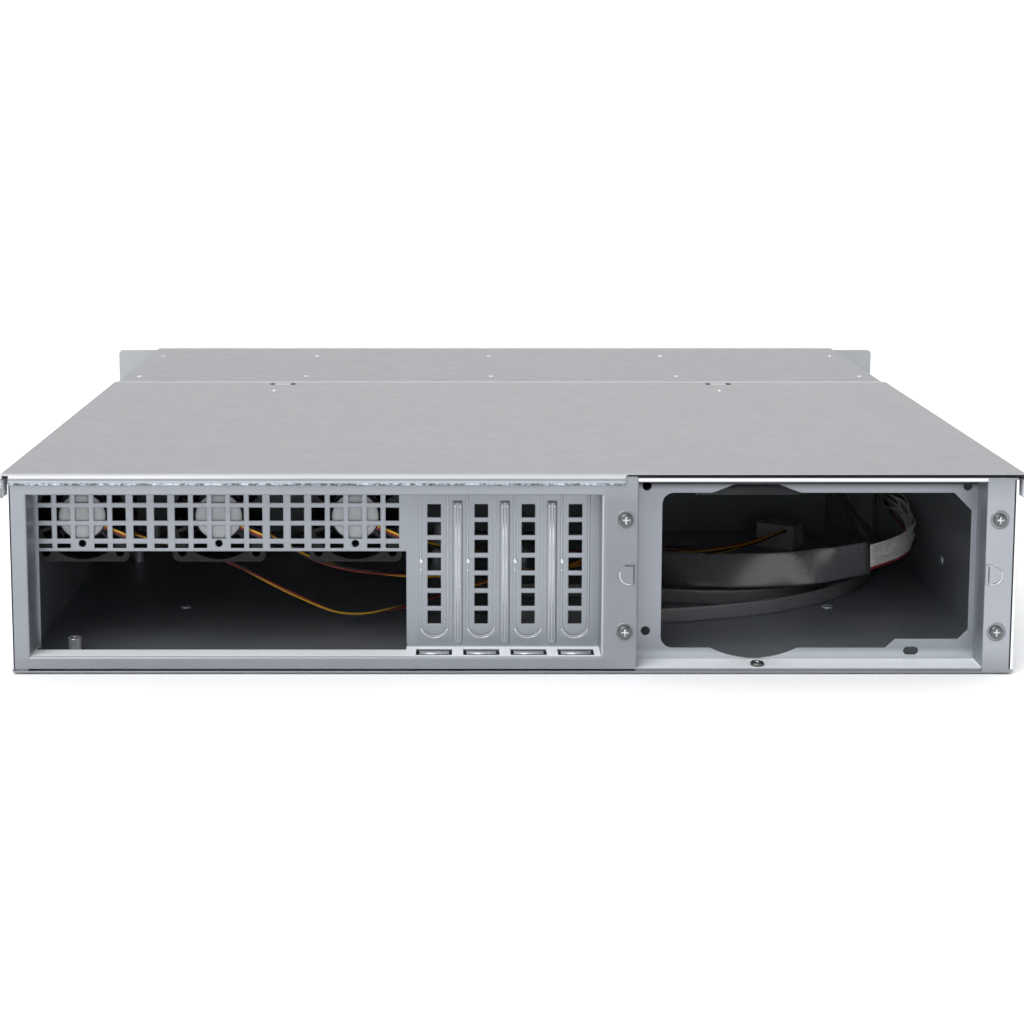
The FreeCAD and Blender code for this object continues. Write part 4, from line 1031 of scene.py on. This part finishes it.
def tab_points(x, z, side):
    """A fine round bar along an arc of a flap's round edge, between its two turns in radians."""
    turn = np.linspace(*tab_turns, 20)
    path = np.stack([
        x + side * (tab_reach - tab_radius + tab_radius * np.cos(turn)),
        z + tab_radius * np.sin(turn),
    ], axis=-1)
    along = unit(np.gradient(path, axis=0))
    outward = np.stack([-along[:, 1], along[:, 0]], axis=-1) * side
    small = np.linspace(0, 2 * math.pi, 8, endpoint=False)
    px = path[:, None, 0] + rim_radius * np.cos(small)[None] * outward[:, None, 0]
    pz = path[:, None, 1] + rim_radius * np.cos(small)[None] * outward[:, None, 1]
    py = np.broadcast_to(rear - rim_proud + rim_radius * np.sin(small)[None], px.shape)
    return np.stack([px, py, pz], axis=-1) * MM


tab_rims = merged("tab_rims", [tab_points(x, z, side) for x, z, side in tab_middles])
tab_rims.data.materials.append(bright_plating_and_highlight)
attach(tab_rims, "chassis")

# Pips: small domes pressed up through the floor and inwards through the right wall, where the
# sheets are joined and stiffened, drawn in bright zinc as a painted highlight.
pip_x = 154.2
pip_rows = (96.5, 300.0)
pip_radius = 3.2
pip_height = 1.0
wall_pip = (wall_half - 1.0, rear + 110.0, 20.5)
wall_pip_radius = 2.6
pip_places = [(side * pip_x, rear + y, 1.0) for side in (-1, 1) for y in pip_rows]
domes = [dome_points(place, "up", pip_radius, pip_height) for place in pip_places]
domes.append(dome_points(wall_pip, "left", wall_pip_radius, pip_height))
pips = merged("floor_pips", domes)
pips.data.materials.append(bright_plating_and_highlight)
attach(pips, "chassis")

# Fans: frames and rotors moulded from black plastic, screwed behind the grille. Each hub has a round
# white paper label, left bare.
hub_label_radius = 10.0
hub_label_thickness = 0.12
fan_middle = 64.6
panel_inside = 16.0


def moulded(name, colour, roughness, gloss=0.5, grain_scale=700.0):
    """Moulded plastic: an even colour with a fine spark-eroded grain."""
    material, tree, shader = plain_material(name, (*colour, 1.0), roughness)
    shader.inputs["Specular IOR Level"].default_value = gloss
    tone = two_tone(tree, noise(tree, 30.0), colour, tuple(c * 1.25 for c in colour))
    tree.links.new(tone, shader.inputs["Base Color"])
    dullness = remap(tree, noise(tree, 90.0), roughness - 0.05, roughness + 0.07)
    tree.links.new(dullness, shader.inputs["Roughness"])
    relief(tree, shader, noise(tree, grain_scale, 2.0), 0.15, 0.0001, 0.0003)
    return material


fan_black = moulded("fan_black", (0.007, 0.007, 0.008), 0.36, 0.16)
dress([f"fan_frame_{n}" for n in (1, 2, 3)] + [f"fan_rotor_{n}" for n in (1, 2, 3)], fan_black)


def disc_surface(centre, radius, thickness, rings=6, sides=40):
    """A thin disc that faces the rear: rings out to the radius and a short rim back."""
    reach = np.concatenate([np.linspace(0.02, 1, rings), [1.0]]) * radius
    depth = np.concatenate([np.full(rings, -thickness), [0.0]])
    turn = np.linspace(0, 2 * math.pi, sides, endpoint=False)
    x = centre[0] + reach[:, None] * np.cos(turn)
    y = centre[1] + np.repeat(depth[:, None], sides, axis=1)
    z = centre[2] + reach[:, None] * np.sin(turn)
    return np.stack([x, y, z], axis=-1) * MM


# The white paper is given a grey, painted shade, as it lies deep behind the grille.
label_shade_dark = (0.235, 0.243, 0.255)
label_shade_light = (0.32, 0.328, 0.342)
paper, tree, shader = plain_material("label_paper_shade_painted", (*label_shade_light, 1.0), 0.55)
tree.links.new(two_tone(tree, noise(tree, 220.0), label_shade_dark, label_shade_light), shader.inputs["Base Color"])
relief(tree, shader, noise(tree, 600.0), 0.1, 0.0001)
for number, x in enumerate(fan_centres, start=1):
    centre = (x, rear + panel_inside, fan_middle)
    label = merged(f"fan_label_{number}", [disc_surface(centre, hub_label_radius, hub_label_thickness)])
    label.data.materials.append(paper)
    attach(label, "chassis")

# Fan wire ends: from the hub's board the three wires of a fan lie side by side across the opening,
# then in a groove of the frame, and turn forwards to its side, where the loose lead begins. A point
# of their line is given across and up from the fan's middle, and along from the rear face.
wire_ends = [
    (8.6, -4.9, 16.6), (11.5, -6.2, 16.9), (15.0, -7.6, 16.7), (18.6, -9.0, 16.1), (20.1, -9.8, 16.5),
    (20.9, -10.4, 19.5), (20.9, -10.6, 24.0), (20.0, -10.6, 28.0),
]
wire_apart = 0.86
wire_slope = math.atan2(-4.1, 10.0)


def wire_end_points(centre, step):
    """A round wire along a smooth line, moved sideways in the fan's plane by a step."""
    route = [
        (centre + x - step * math.sin(wire_slope), y, fan_middle + z + step * math.cos(wire_slope))
        for x, z, y in wire_ends
    ]
    line = route_line(route)
    along, side, up = line_frames(line)
    return tube_points(line, side, up, wire_radius * MM, wire_sides)


ends, shades = [], []
for centre in fan_centres:
    for step, shade in zip((1, 0, -1), wire_shades):
        ends.append(wire_end_points(centre, step * wire_apart))
        shades.append(shade)
wires = merged("fan_wire_ends", ends, shades)
wires.data.materials.append(wire_cover)
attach(wires, "chassis")

# Connectors and controls: white and black moulded housings, pushed onto headers, two buttons in the
# front panel, and behind it the green control board with its lamps on two posts.
# The white nylon of the fan plug and the board posts is given a dim grey, painted shade for the dark inside
# of the case.
dress(["fan_plug", "board_posts"], moulded("nylon_shade_painted", (0.3, 0.3, 0.29), 0.45))
dress(["board_headers", "ribbon_plug", "signal_plug"], moulded("header_black", (0.02, 0.02, 0.022), 0.45))
dress(["power_button", "reset_button"], moulded("button_black", (0.02, 0.02, 0.021), 0.25))
dress(["control_board"], moulded("board_green", (0.01, 0.07, 0.03), 0.4))
dress(["lamps"], moulded("lamp_lens", (0.6, 0.68, 0.6), 0.15))
